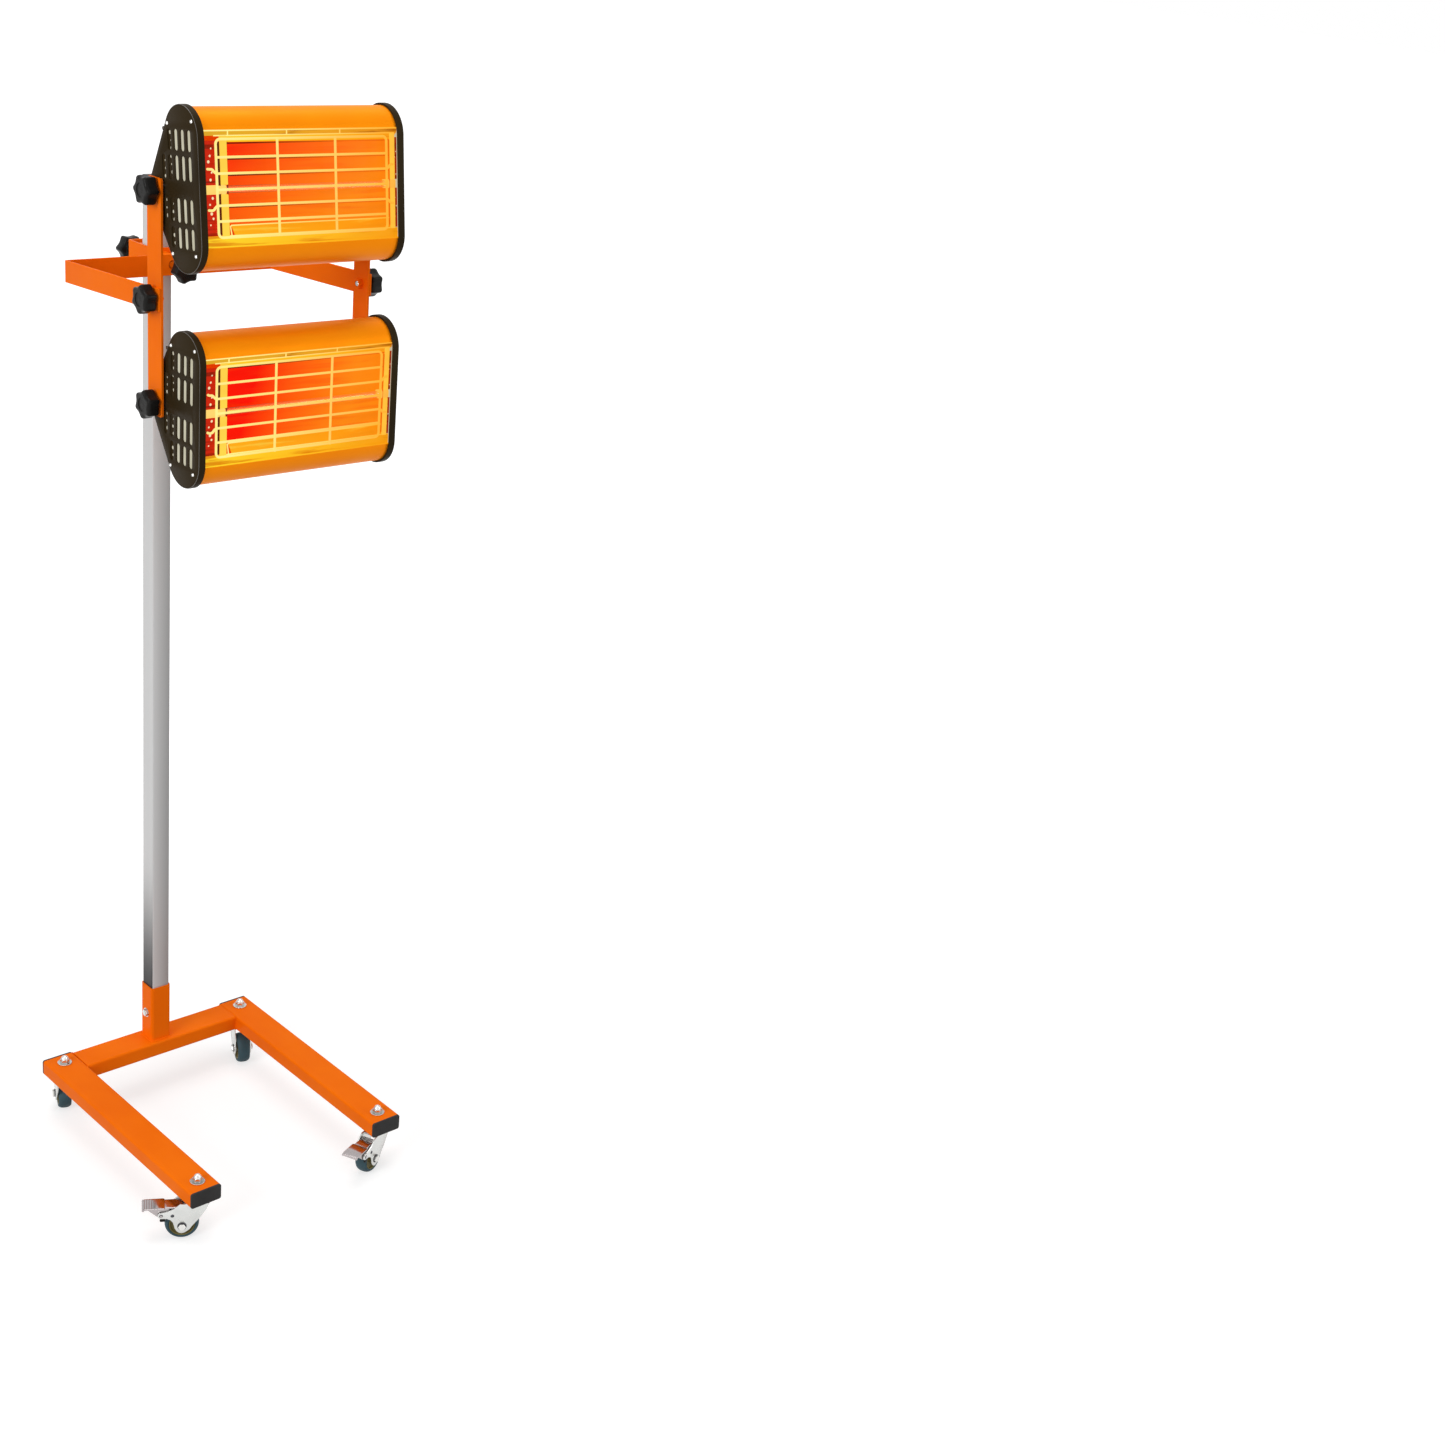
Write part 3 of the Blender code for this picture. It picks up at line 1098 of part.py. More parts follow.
def main():
    clear_scene()
    root = empty("lamp", None, (0, 0, 0))
    base(root)
    lamp_carrier(root)
    centre_over_origin(root)


main()
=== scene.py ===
"""The looks of the infrared paint curing lamp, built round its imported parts."""

import json
import math

import bmesh
import bpy
from mathutils import Matrix, Vector


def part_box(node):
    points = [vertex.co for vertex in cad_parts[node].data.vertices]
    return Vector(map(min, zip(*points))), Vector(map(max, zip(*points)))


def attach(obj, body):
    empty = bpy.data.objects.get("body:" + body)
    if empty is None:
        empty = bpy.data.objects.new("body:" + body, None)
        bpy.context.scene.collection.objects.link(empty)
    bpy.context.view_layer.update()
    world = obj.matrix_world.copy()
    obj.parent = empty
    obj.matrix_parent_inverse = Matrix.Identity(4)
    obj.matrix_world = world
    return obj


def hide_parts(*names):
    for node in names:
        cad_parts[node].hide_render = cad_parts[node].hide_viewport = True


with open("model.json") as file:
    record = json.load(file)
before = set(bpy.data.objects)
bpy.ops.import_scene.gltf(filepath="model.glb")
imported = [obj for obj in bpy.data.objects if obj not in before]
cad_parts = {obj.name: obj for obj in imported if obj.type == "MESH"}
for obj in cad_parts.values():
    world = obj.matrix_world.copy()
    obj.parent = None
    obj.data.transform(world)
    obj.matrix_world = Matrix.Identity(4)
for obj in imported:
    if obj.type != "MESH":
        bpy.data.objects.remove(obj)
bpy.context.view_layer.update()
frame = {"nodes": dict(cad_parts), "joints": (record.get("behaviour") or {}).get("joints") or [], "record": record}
NODES = frame["nodes"]
JOINTS = {joint["name"]: joint for joint in frame["joints"]}
MM = 0.001
FULL_TURN = 2 * math.pi
COLUMN_LOW, COLUMN_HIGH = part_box("column")
COLUMN = Vector(((COLUMN_LOW.x + COLUMN_HIGH.x) / 2, (COLUMN_LOW.y + COLUMN_HIGH.y) / 2, 0))


# Materials, in metres


def shader(name):
    made = bpy.data.materials.new(name)
    made.use_nodes = True
    return made, made.node_tree, made.node_tree.nodes["Principled BSDF"]


def fixed(made, **values):
    """Set constants on a node's own sockets."""
    for key, value in values.items():
        made.inputs[key.replace("_", " ")].default_value = value
    return made


def added(tree, kind, **values):
    """A new node with constants on its sockets."""
    return fixed(tree.nodes.new(f"ShaderNode{kind}"), **values)


def feed(made, socket, output):
    """Link another node's output to a socket, given by name or number."""
    made.id_data.links.new(output, made.inputs[socket])


def place_in(tree, output="Object"):
    """The object's own metres, or its normal."""
    return added(tree, "TexCoord").outputs[output]


def split(vector):
    made = added(vector.id_data, "SeparateXYZ")
    feed(made, "Vector", vector)
    return made.outputs


def noise(tree, scale, detail=3.0, squeeze=(1, 1, 1)):
    """Noise in the object's own metres, as a factor from 0 to 1."""
    mapping = added(tree, "Mapping", Scale=squeeze)
    feed(mapping, "Vector", place_in(tree))
    texture = added(tree, "TexNoise", Scale=scale, Detail=detail, Roughness=0.5)
    feed(texture, "Vector", mapping.outputs["Vector"])
    return texture.outputs["Fac"]


def spread(factor, low, high, start=0.3, end=0.7, kind="LINEAR"):
    """The factor mapped to a range of values."""
    ranged = added(factor.id_data, "MapRange", From_Min=start, From_Max=end, To_Min=low, To_Max=high)
    ranged.interpolation_type = kind
    feed(ranged, "Value", factor)
    return ranged.outputs["Result"]


def combined(operation, first, second):
    """Two factors added or multiplied, kept between 0 and 1."""
    made = added(first.id_data, "Math")
    made.operation = operation
    made.use_clamp = True
    feed(made, 0, first)
    feed(made, 1, second)
    return made.outputs["Value"]


def blend_colours(factor, first, second):
    """A mix of two colours, each given as three numbers or as another node's output."""
    mix = added(factor.id_data, "Mix")
    mix.data_type = "RGBA"
    sockets = [socket for socket in mix.inputs if socket.type == "RGBA"]
    for socket, colour in zip(sockets, (first, second)):
        if isinstance(colour, bpy.types.NodeSocket):
            mix.id_data.links.new(colour, socket)
        else:
            socket.default_value = (*colour, 1)
    feed(mix, 0, factor)
    return [socket for socket in mix.outputs if socket.type == "RGBA"][0]


def bump(surface, *heights):
    """Stack height maps of (factor, strength, depth in metres) on the surface's normal."""
    last = None
    for factor, strength, depth in heights:
        made = added(surface.id_data, "Bump", Strength=strength, Distance=depth)
        feed(made, "Height", factor)
        if last:
            feed(made, "Normal", last)
        last = made.outputs["Normal"]
    feed(surface, "Normal", last)


def coated(name, colour, darker, rough, peel=420, specular=0.03, metallic=0.0):
    """Powder coat: faint orange peel, fine grit and slow colour change."""
    made, tree, surface = shader(name)
    fixed(surface, Metallic=metallic, Specular_IOR_Level=specular)
    feed(surface, "Base Color", blend_colours(spread(noise(tree, 9, 4), 0, 1), darker, colour))
    feed(surface, "Roughness", spread(noise(tree, 25, 1), rough - 0.03, rough + 0.05))
    if peel:
        bump(surface, (noise(tree, peel, 2), 0.06, 0.0002), (noise(tree, 2600, 2), 0.05, 0.0001))
    return made


def moulded(name, colour, rough, specular=0.15):
    """Moulded plastic or rubber with a fine etched grain."""
    made, tree, surface = shader(name)
    fixed(surface, Specular_IOR_Level=specular)
    paler = [channel * 1.6 + 0.003 for channel in colour]
    feed(surface, "Base Color", blend_colours(spread(noise(tree, 35, 5), 0, 1), colour, paler))
    feed(surface, "Roughness", spread(noise(tree, 140, 4), rough - 0.08, rough + 0.1))
    bump(surface, (noise(tree, 1400, 3), 0.25, 0.0002))
    return made


def plated(name, colour, rough, patch=45, dark=0.3):
    """Bright plate with cloudy patches and painted dark reflections, like the ones that a room leaves in curved
    metal.
    """
    made, tree, surface = shader(name)
    fixed(surface, Metallic=1)
    duller = [channel * 0.88 for channel in colour]
    cloudy = blend_colours(spread(noise(tree, patch, 5), 0, 1), duller, colour)
    # Painted reflection: the base colour turns dark in rings by how edge-on a face is seen.
    edgeways = added(tree, "LayerWeight", Blend=0.5)
    reflection_bands = added(tree, "ValToRGB")
    stops = ((0.0, 1.0), (0.30, 1.0), (0.42, dark), (0.52, 0.9), (0.68, 1.0), (0.80, dark * 1.4), (0.92, 1.0))
    ramp = reflection_bands.color_ramp.elements
    while len(ramp) < len(stops):
        ramp.new(0.5)
    for element, (place, level) in zip(ramp, stops):
        element.position = place
        element.color = (level, level, level, 1)
    feed(reflection_bands, "Fac", edgeways.outputs["Facing"])
    shaded = blend_colours(reflection_bands.outputs["Color"], [channel * dark for channel in colour], cloudy)
    feed(surface, "Base Color", shaded)
    feed(surface, "Roughness", spread(noise(tree, 90, 5), rough * 0.7, rough * 1.6))
    bump(surface, (noise(tree, 900, 3), 0.05, 0.0001))
    return made


def glowing(
    name, colour, second, direction=(1, 0, 0), start=-0.12, end=0.14, strength=0.86, streak=None, most=0.85
):
    """A surface that glows, its glow changing along a direction of the object, with streaks along X. On the
    filament it is the lamp's own light; on every other part it is painted light that stands in for the light
    falling on it.
    """
    made, tree, surface = shader(name)
    fixed(surface, Roughness=0.45, Specular_IOR_Level=0.06)
    along = added(tree, "VectorMath")
    along.operation = "DOT_PRODUCT"
    along.inputs[1].default_value = direction
    feed(along, 0, place_in(tree))
    share = spread(along.outputs["Value"], 0, 1, start, end)
    glow = blend_colours(share, colour, second)
    if streak:
        lines = spread(noise(tree, 150, 4, (0.07, 1, 1)), 0, most, 0.54, 0.64)
        glow = blend_colours(lines, glow, streak)
    feed(surface, "Emission Color", glow)
    flicker = spread(noise(tree, 60, 4, (0.15, 1, 1)), strength * 0.93, strength * 1.06)
    feed(surface, "Emission Strength", flicker)
    dim = [[channel * 0.18 for channel in shade] for shade in (colour, second)]
    feed(surface, "Base Color", blend_colours(share, *dim))
    bump(surface, (noise(tree, 500, 3, (0.1, 1, 1)), 0.15, 0.0002))
    return made


def glass(name, colour, strength):
    """Clear hot quartz with a little of the tube's own light."""
    made, tree, surface = shader(name)
    fixed(surface, Base_Color=(*colour, 1), Transmission_Weight=1, IOR=1.45)
    fixed(surface, Emission_Color=(*colour, 1), Emission_Strength=strength)
    feed(surface, "Roughness", spread(noise(tree, 200, 3), 0.03, 0.1))
    return made


def column_silver():
    """Satin silver on a drawn tube, with painted shade across its faces, lighter on the left, and a painted dark
    reflection on its left face above the socket.
    """
    made, tree, surface = shader("satin_silver")
    fixed(surface, Metallic=0.25, Specular_IOR_Level=0.2)
    place = split(place_in(tree))
    half = (COLUMN_HIGH.x - COLUMN_LOW.x) / 2
    # Painted shade: lighter on the left face, darker toward the right.
    across = spread(place["X"], 0, 1, COLUMN.x - half * 0.98, COLUMN.x + half)
    painted_shade_and_streaks = blend_colours(across, (0.60, 0.60, 0.60), (0.30, 0.30, 0.30))
    drawn = spread(noise(tree, 14, 5, (1, 1, 0.1)), 0, 0.16)
    painted_shade_and_streaks = blend_colours(drawn, painted_shade_and_streaks, (0.42, 0.42, 0.42))
    # Painted dark reflection: the left face turns dark toward the socket.
    height = spread(place["Z"], 1, 0, 0.18, 0.43, "SMOOTHSTEP")
    leftward = spread(split(place_in(tree, "Normal"))["X"], 1, 0, -0.9, -0.4)
    shade = combined("MULTIPLY", height, leftward)
    feed(surface, "Base Color", blend_colours(shade, painted_shade_and_streaks, (0.03, 0.03, 0.032)))
    feed(surface, "Roughness", spread(noise(tree, 50, 5, (1, 1, 0.05)), 0.34, 0.46))
    bump(surface, (noise(tree, 900, 3, (1, 1, 0.03)), 0.12, 0.0002))
    return made


ORANGE = coated("orange_powder_coat", (0.96, 0.175, 0.002), (0.90, 0.145, 0.001), 0.36)
SHELL_ORANGE = coated(
    "orange_shell_coat", (0.99, 0.290, 0.001), (0.97, 0.260, 0.001), 0.42, peel=0, metallic=0.3
)
SILVER = column_silver()
BLACK = moulded("black_moulding", (0.008, 0.0075, 0.007), 0.3, 0.09)
COVER = coated("black_cover_coat", (0.034, 0.022, 0.008), (0.023, 0.015, 0.006), 0.38)
# The baffle glows faintly with painted light, so that it keeps the cover's look inside the head.
BAFFLE = glowing("dark_baffle_glow", (0.030, 0.020, 0.009), (0.038, 0.025, 0.011), (0, 1, 0), -0.05, -0.01)
# A pale shiny coat for the bead along each cover's edge: a painted highlight.
EDGE_HIGHLIGHT = coated("cover_edge_highlight", (0.15, 0.14, 0.13), (0.03, 0.02, 0.01), 0.3, specular=0.5)
ZINC = plated("bright_zinc", (0.70, 0.71, 0.69), 0.20, dark=0.8)
PEDAL_ZINC = plated("pedal_zinc", (0.47, 0.43, 0.43), 0.13, dark=0.85)
DARK_STEEL = plated("dark_rivet", (0.09, 0.09, 0.10), 0.3)
BOLT = plated("bright_bolt", (0.80, 0.79, 0.76), 0.14, patch=120, dark=0.22)
TYRE = moulded("blue_grey_tyre", (0.028, 0.060, 0.074), 0.6, 0.25)
PLUG_BLACK = moulded("grey_black_plug", (0.028, 0.027, 0.027), 0.45, 0.09)
CORE = moulded("olive_core", (0.15, 0.125, 0.045), 0.45)
# Painted light: the reflector's floor, walls, hems, creases, strips and end plates, and the guard wires, glow in
# place of the tube's light falling on them.
FLOOR_GLOWS = {
    "upper": glowing(
        "upper_floor_glow", (1.0, 0.022, 0.001), (1.0, 0.245, 0.004), (1, 0, -1.2), -0.17, 0.09,
        streak=(0.95, 0.075, 0.001), most=0.3,
    ),
    "lower": glowing(
        "lower_floor_glow", (1.0, 0.006, 0.0), (1.0, 0.250, 0.004), (1, 0, -0.3), -0.075, 0.085,
        streak=(0.92, 0.050, 0.001), most=0.3,
    ),
}
FOOT_GLOW = glowing("foot_wall_glow", (1.0, 0.44, 0.010), (0.97, 0.29, 0.003), streak=(0.95, 0.60, 0.05))
BAND_GLOW = glowing("gold_band_glow", (0.80, 0.43, 0.022), (0.84, 0.30, 0.005), streak=(0.42, 0.105, 0.001))
YELLOW_GLOW = glowing("yellow_band_glow", (1.0, 0.66, 0.02), (0.97, 0.36, 0.005), streak=(0.70, 0.165, 0.001))
PALE_GLOW = glowing("pale_crease_glow", (1.0, 0.84, 0.27), (0.98, 0.44, 0.030), strength=1.0)
WIRE_GLOW = glowing("guard_wire_glow", (1.0, 0.82, 0.26), (0.98, 0.42, 0.030), strength=0.95)
STRIP_GLOW = glowing("bright_strip_glow", (0.96, 0.585, 0.062), (0.97, 0.50, 0.045), strength=1.0)
DARK_GLOW = glowing("shadow_line_glow", (0.10, 0.010, 0.0), (0.86, 0.150, 0.002), (1, 0, -0.5), -0.10, 0.05)
END_GLOW = glowing("end_plate_glow", (0.62, 0.018, 0.002), (0.38, 0.026, 0.001), streak=(0.16, 0.008, 0.0))
HOLE_GLOW = glowing("end_plate_back_glow", (1.0, 0.87, 0.51), (1.0, 0.80, 0.40))
TUBE_GLASS = glass("hot_quartz", (1.0, 0.80, 0.45), 0.02)
FILAMENT = glowing("filament_glow", (1.0, 0.50, 0.03), (1.0, 0.42, 0.02), strength=1.5)
# The ceramic holders glow with painted light.
CERAMIC_GLOW = glowing("ceramic_painted_glow", (1.0, 0.66, 0.16), (1.0, 0.48, 0.06), strength=0.9)
# The liner glows with painted light, brighter toward the back, in place of the light that the slots let in.
LINER_GLOW = glowing("galvanised_liner_glow", (0.50, 0.47, 0.34), (0.60, 0.57, 0.45), (0, 1, 0), -0.09, -0.02, 1.0)
MARK_WHITE = moulded("switch_mark_white", (0.75, 0.75, 0.72), 0.5)

# The finishes of each slot of the record. The first is the one for its CAD nodes.
FINISHES = {
    "orange_paint": (ORANGE, SHELL_ORANGE),
    "silver_paint": (SILVER,),
    "black_plastic": (BLACK, MARK_WHITE),
    "black_cover": (COVER, BAFFLE, EDGE_HIGHLIGHT),
    "bright_zinc": (ZINC, PEDAL_ZINC, DARK_STEEL, BOLT, LINER_GLOW),
    "tyre_rubber": (TYRE,),
    "olive_core": (CORE,),
    "reflector": (
        BAND_GLOW, FOOT_GLOW, YELLOW_GLOW, PALE_GLOW, STRIP_GLOW, DARK_GLOW, END_GLOW, HOLE_GLOW,
        *FLOOR_GLOWS.values(),
    ),
    "guard_wire": (WIRE_GLOW,),
    "quartz": (TUBE_GLASS, FILAMENT),
    "ceramic": (CERAMIC_GLOW,),
}


# Shapes, in millimetres


def point_at(turn, radius, centre=(0, 0)):
    return centre[0] + radius * math.cos(turn), centre[1] + radius * math.sin(turn)


def circle(radius, sides, centre=(0, 0), phase=0.0):
    return [point_at(phase + FULL_TURN * i / sides, radius, centre) for i in range(sides)]


def rounded(half_a, half_b, radius, centre=(0, 0), steps=5):
    """A rectangle with round corners."""
    points = []
    for quarter, (a, b) in enumerate(((1, 1), (-1, 1), (-1, -1), (1, -1))):
        corner = (centre[0] + a * (half_a - radius), centre[1] + b * (half_b - radius))
        for step in range(steps + 1):
            points.append(point_at(math.pi / 2 * (quarter + step / steps), radius, corner))
    return points


def panel(low_a, high_a, low_b, high_b, radius, steps=5):
    """The same, given by its edges."""
    middle = ((low_a + high_a) / 2, (low_b + high_b) / 2)
    return rounded((high_a - low_a) / 2, (high_b - low_b) / 2, radius, middle, steps)


def hexagon(flats, phase=0.0):
    return circle(flats / 2 / math.cos(math.pi / 6), 6, phase=phase)


def at_x(outline, x):
    return [(x, a, b) for a, b in outline]


def at_y(outline, y):
    return [(a, y, b) for a, b in outline]


def at_z(outline, z):
    return [(a, b, z) for a, b in outline]


def mirrored(profile):
    """A profile of (radius, height) with its own reflection in height zero after it."""
    return list(profile) + [(radius, -height) for radius, height in reversed(profile)]


def loft(rings, closed=False):
    """A skin over a row of rings that have the same number of points."""
    bm = bmesh.new()
    loops = [[bm.verts.new(point) for point in ring] for ring in rings]
    pairs = list(zip(loops, loops[1:]))
    if closed:
        pairs.append((loops[-1], loops[0]))
    else:
        bm.faces.new(loops[0])
        bm.faces.new(loops[-1])
    for near, far in pairs:
        for i, vert in enumerate(near):
            j = (i + 1) % len(near)
            bm.faces.new((vert, near[j], far[j], far[i]))
    return bm


def prism(outline, at, low, high):
    """A straight bar with the outline as its section, between two heights along an axis."""
    return loft([at(outline, low), at(outline, high)])


def turned(profile, sides, closed=False):
    """Turn a profile of (radius, height) about Z. A closed profile makes a ring."""
    return loft([at_z(circle(max(radius, 0.01), sides), height) for radius, height in profile], closed)


def sweep(points, radius, sides, closed=False):
    """A round bar along a row of points."""
    points = [Vector(point) for point in points]
    section = at_z(circle(radius, sides), 0)
    rings = []
    heading = Vector((0, 0, 1))
    turn = heading.rotation_difference(heading)
    for i, point in enumerate(points):
        before = points[i - 1] if i or closed else point
        after = points[(i + 1) % len(points)] if i + 1 < len(points) or closed else point
        along = ((after - point).normalized() + (point - before).normalized()).normalized()
        turn = heading.rotation_difference(along) @ turn
        heading = along
        rings.append([point + turn @ Vector(corner) for corner in section])
    return loft(rings, closed)


def crossbar(x, half, z, radius, sides):
    """A round bar across the middle, along Y."""
    return sweep([(x, -half, z), (x, half, z)], radius, sides)


CORNER_STEPS = 4


def bend(before, corner, after, reach):
    """A corner between two points, turned through a small curve."""
    start = corner + (before - corner).normalized() * reach
    end = corner + (after - corner).normalized() * reach
    shares = [step / CORNER_STEPS for step in range(CORNER_STEPS + 1)]
    return [start * (1 - t) ** 2 + corner * 2 * t * (1 - t) + end * t**2 for t in shares]


def eased(points, radius):
    """A row of points with each inner corner bent."""
    points = [Vector(point) for point in points]
    made = [points[0]]
    for before, corner, after in zip(points, points[1:], points[2:]):
        reach = min(radius, (before - corner).length / 2, (after - corner).length / 2)
        made += bend(before, corner, after, reach)
    return made + [points[-1]]


def linked(name, data):
    """A new object in the scene."""
    obj = bpy.data.objects.new(name, data)
    bpy.context.scene.collection.objects.link(obj)
    return obj


def axes(x, y, z, origin):
    """A frame with these axes, in metres."""
    made = Matrix((x, y, z)).transposed().to_4x4()
    made.translation = origin
    return made


def plate(outlines, thickness, edge=0.5, offset=(0, 0, 0), matrix=None):
    """A flat plate in X and Y with rounded edges, whose later outlines are holes, then turned and shifted."""
    curve = bpy.data.curves.new("plate", "CURVE")
    curve.dimensions = "2D"
    curve.fill_mode = "BOTH"
    curve.extrude = (thickness / 2 - edge) * MM
    curve.bevel_depth = edge * MM
    curve.bevel_resolution = 1
    curve.offset = -edge * MM
    for outline in outlines:
        spline = curve.splines.new("POLY")
        spline.points.add(len(outline) - 1)
        for point, (a, b) in zip(spline.points, outline):
            point.co = (a * MM, b * MM, 0, 1)
        spline.use_cyclic_u = True
    holder = linked("plate", curve)
    graph = bpy.context.evaluated_depsgraph_get()
    mesh = bpy.data.meshes.new_from_object(holder.evaluated_get(graph))
    bpy.data.objects.remove(holder)
    bpy.data.curves.remove(curve)
    bm = bmesh.new()
    bm.from_mesh(mesh)
    bpy.data.meshes.remove(mesh)
    bmesh.ops.remove_doubles(bm, verts=bm.verts, dist=0.01 * MM)
    bm.transform(Matrix.Scale(1 / MM, 4))
    return moved(bm, offset, matrix)


# These stand a flat plate up, to face along X or along Y.
ALONG_X = Matrix(((0, 0, 1, 0), (1, 0, 0, 0), (0, 1, 0, 0), (0, 0, 0, 1)))
ALONG_Y = Matrix(((1, 0, 0, 0), (0, 0, -1, 0), (0, 1, 0, 0), (0, 0, 0, 1)))
SIDES = {"left": -1, "right": 1}


def facing(side):
    """Turns a shape's Z to the left or to the right."""
    return Matrix.Rotation(side * math.pi / 2, 4, "Y")


def moved(bm, offset, matrix=None):
    """The shape turned by the matrix, then shifted."""
    if matrix:
        bm.transform(matrix)
    bm.transform(Matrix.Translation(offset))
    return bm


def gather(*parts):
    """One mesh that holds all the parts."""
    whole = bmesh.new()
    for part in parts:
        mesh = bpy.data.meshes.new("part")
        part.to_mesh(mesh)
        part.free()
        whole.from_mesh(mesh)
        bpy.data.meshes.remove(mesh)
    return whole


def show(name, shape, finish, seat, replaces=(), edge=0.0, sharp=35):
    """Put a mesh, or a list of them, in the scene. Its seat is a body and the matrix that places it there."""
    bm = gather(*shape) if isinstance(shape, list) else shape
    body, matrix = seat
    bm.transform(Matrix.Scale(MM, 4))
    bmesh.ops.recalc_face_normals(bm, faces=bm.faces)
    mesh = bpy.data.meshes.new(name)
    bm.to_mesh(mesh)
    bm.free()
    mesh.materials.append(finish)
    mesh.shade_smooth()
    mesh.set_sharp_from_angle(angle=math.radians(sharp))
    obj = linked(name, mesh)
    if matrix:
        obj.matrix_world = matrix
    if edge:
        bevel = obj.modifiers.new("edges", "BEVEL")
        bevel.width = edge * MM
        bevel.segments = 2
        bevel.limit_method = "ANGLE"
        bevel.angle_limit = math.radians(40)
    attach(obj, body)
    if replaces:
        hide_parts(*replaces)


# Heater heads, in a frame on the hinge axis

CROWN_RADIUS, CROWN_HALF_PITCH, CROWN_REACH, CROWN_LIFT = 39.2, 64.6, 59.5, 4
CROWN_STEPS, HINGE_STEPS = 36, 18
HINGE_RADIUS, HINGE_HOLE, HINGE_CLEARANCE = 23, 4.4, 4.9
COVER_FACE, COVER_DEPTH, COVER_PLATE, COVER_SHEET = 155, 10, 2.5, 1.3
COVER_RIM, COVER_EDGE, BAFFLE_DEPTH, LINER_DEPTH = 2.7, 1.4, 4.2, 6.6
MOUTH_TOP, MOUTH_FOOT = 78.5, -65
FRONT = -(CROWN_REACH + CROWN_RADIUS)
WIRE_PLANE, FLANGE, TUBE_PLANE, TUBE_RISE = FRONT + 3.5, FRONT + 7.7, FRONT + 10.7, 5.7
SLOT_START, SLOT_PITCH, SLOT_HALF_WIDTH, SHORTEST_SLOT = 20.7, 15.4, 3.7, 14
SLOT_SPANS = ((11, 41), (47, 73))
DOT_ROWS, DOT_PITCH, BAR_CLEARANCE = 15, 9.7, 10
COVER_SCREWS = ((-86, 88), (-28.5, 83), (-84, -75.5), (-28.5, -77))
RUNGS = (45.5, 25.8, 6.2, -13.3, -32.5)
UPRIGHTS = (-40, 47.3)
HEADS = {"upper": -5.56, "lower": 0.0}


def arc(disc, start, end, steps):
    centre, radius = disc
    return [point_at(start + (end - start) * i / steps, radius, centre) for i in range(steps + 1)]


def head_discs(inset):
    """The three discs that a head's section is drawn round: upper crown, hinge and lower crown."""
    return (
        ((-CROWN_REACH, CROWN_LIFT + CROWN_HALF_PITCH), CROWN_RADIUS - inset),
        ((0, 0), HINGE_RADIUS - inset),
        ((-CROWN_REACH, CROWN_LIFT - CROWN_HALF_PITCH), CROWN_RADIUS - inset),
    )


def slope_angle(first, second):
    """The direction in which the straight between two discs faces."""
    (ay, az), a_radius = first
    (by, bz), b_radius = second
    along = math.atan2(bz - az, by - ay)
    return along + math.acos((a_radius - b_radius) / math.hypot(by - ay, bz - az))


def head_outline(inset):
    """A head's section, from the front of the upper crown round the back, drawn in by an inset."""
    upper, hinge, lower = head_discs(inset)
    high, low = slope_angle(upper, hinge), slope_angle(hinge, lower)
    crowns = arc(upper, math.pi, high, CROWN_STEPS), arc(lower, low, -math.pi, CROWN_STEPS)
    return crowns[0] + arc(hinge, high, low, HINGE_STEPS) + crowns[1]


def open_at_mouth(outline):
    """The part of a head outline that runs from the mouth's top edge round the back to its foot."""
    first = next(i for i, (_, z) in enumerate(outline) if z > MOUTH_TOP)
    last = max(i for i, (_, z) in enumerate(outline) if z < MOUTH_FOOT)
    ends = []
    for i, z in ((first, MOUTH_TOP), (last + 1, MOUTH_FOOT)):
        (y0, z0), (y1, z1) = outline[i - 1], outline[i % len(outline)]
        ends.append((y0 + (y1 - y0) * (z - z0) / (z1 - z0), z))
    return [ends[0]] + outline[first:last + 1] + [ends[1]]


def slope_frame(which, share, x):
    """A frame on the upper (0) or lower (1) slope of a head's back, with Z pointing out of it."""
    discs = head_discs(COVER_RIM + 0.3)
    first, second = discs[which], discs[which + 1]
    angle = slope_angle(first, second)
    out = Vector((0, math.cos(angle), math.sin(angle)))
    start = Vector((0, *first[0])) + out * first[1]
    finish = Vector((0, *second[0])) + out * second[1]
    along = Vector((1, 0, 0))
    return axes(along, out.cross(along), out, (start.lerp(finish, share) + along * x) * MM)


def slot_outlines():
    """The vent slots of a cover, each kept clear of the rim."""
    limits = head_outline(COVER_RIM + 8.5)
    found = []
    for number in range(5):
        y = FRONT + SLOT_START + number * SLOT_PITCH
        crossings = [
            z0 + (z1 - z0) * (y - y0) / (y1 - y0)
            for (y0, z0), (y1, z1) in zip(limits, limits[1:] + limits[:1])
            if (y0 - y) * (y1 - y) < 0
        ]
        for near, far in SLOT_SPANS:
            for low, high in ((CROWN_LIFT + near, CROWN_LIFT + far), (CROWN_LIFT - far, CROWN_LIFT - near)):
                low, high = max(low, min(crossings)), min(high, max(crossings))
                if high - low > SHORTEST_SLOT:
                    found.append(panel(y - SLOT_HALF_WIDTH, y + SLOT_HALF_WIDTH, low, high, 3.5))
    return found


def baffle_outlines():
    """The drilled sheet behind the rear slots, with a hole round the hinge."""
    dots = []
    for column in range(2):
        y = FRONT + SLOT_START + (3 + column) * SLOT_PITCH + BAFFLE_DEPTH * 0.85
        for row in range(DOT_ROWS):
            rise = (row - DOT_ROWS // 2) * DOT_PITCH + column * 3.8
            radius = 2 + 0.7 * math.sin(row * 2.3 + column)
            if abs(rise) > BAR_CLEARANCE:
                dots.append(circle(radius, 12, (y + math.sin(row * 1.9), CROWN_LIFT + rise)))
    first = FRONT + SLOT_START + 2.6 * SLOT_PITCH
    outline = [point for point in head_outline(COVER_RIM + 1.2) if point[0] > first]
    return [outline, circle(HINGE_CLEARANCE, 24)] + dots


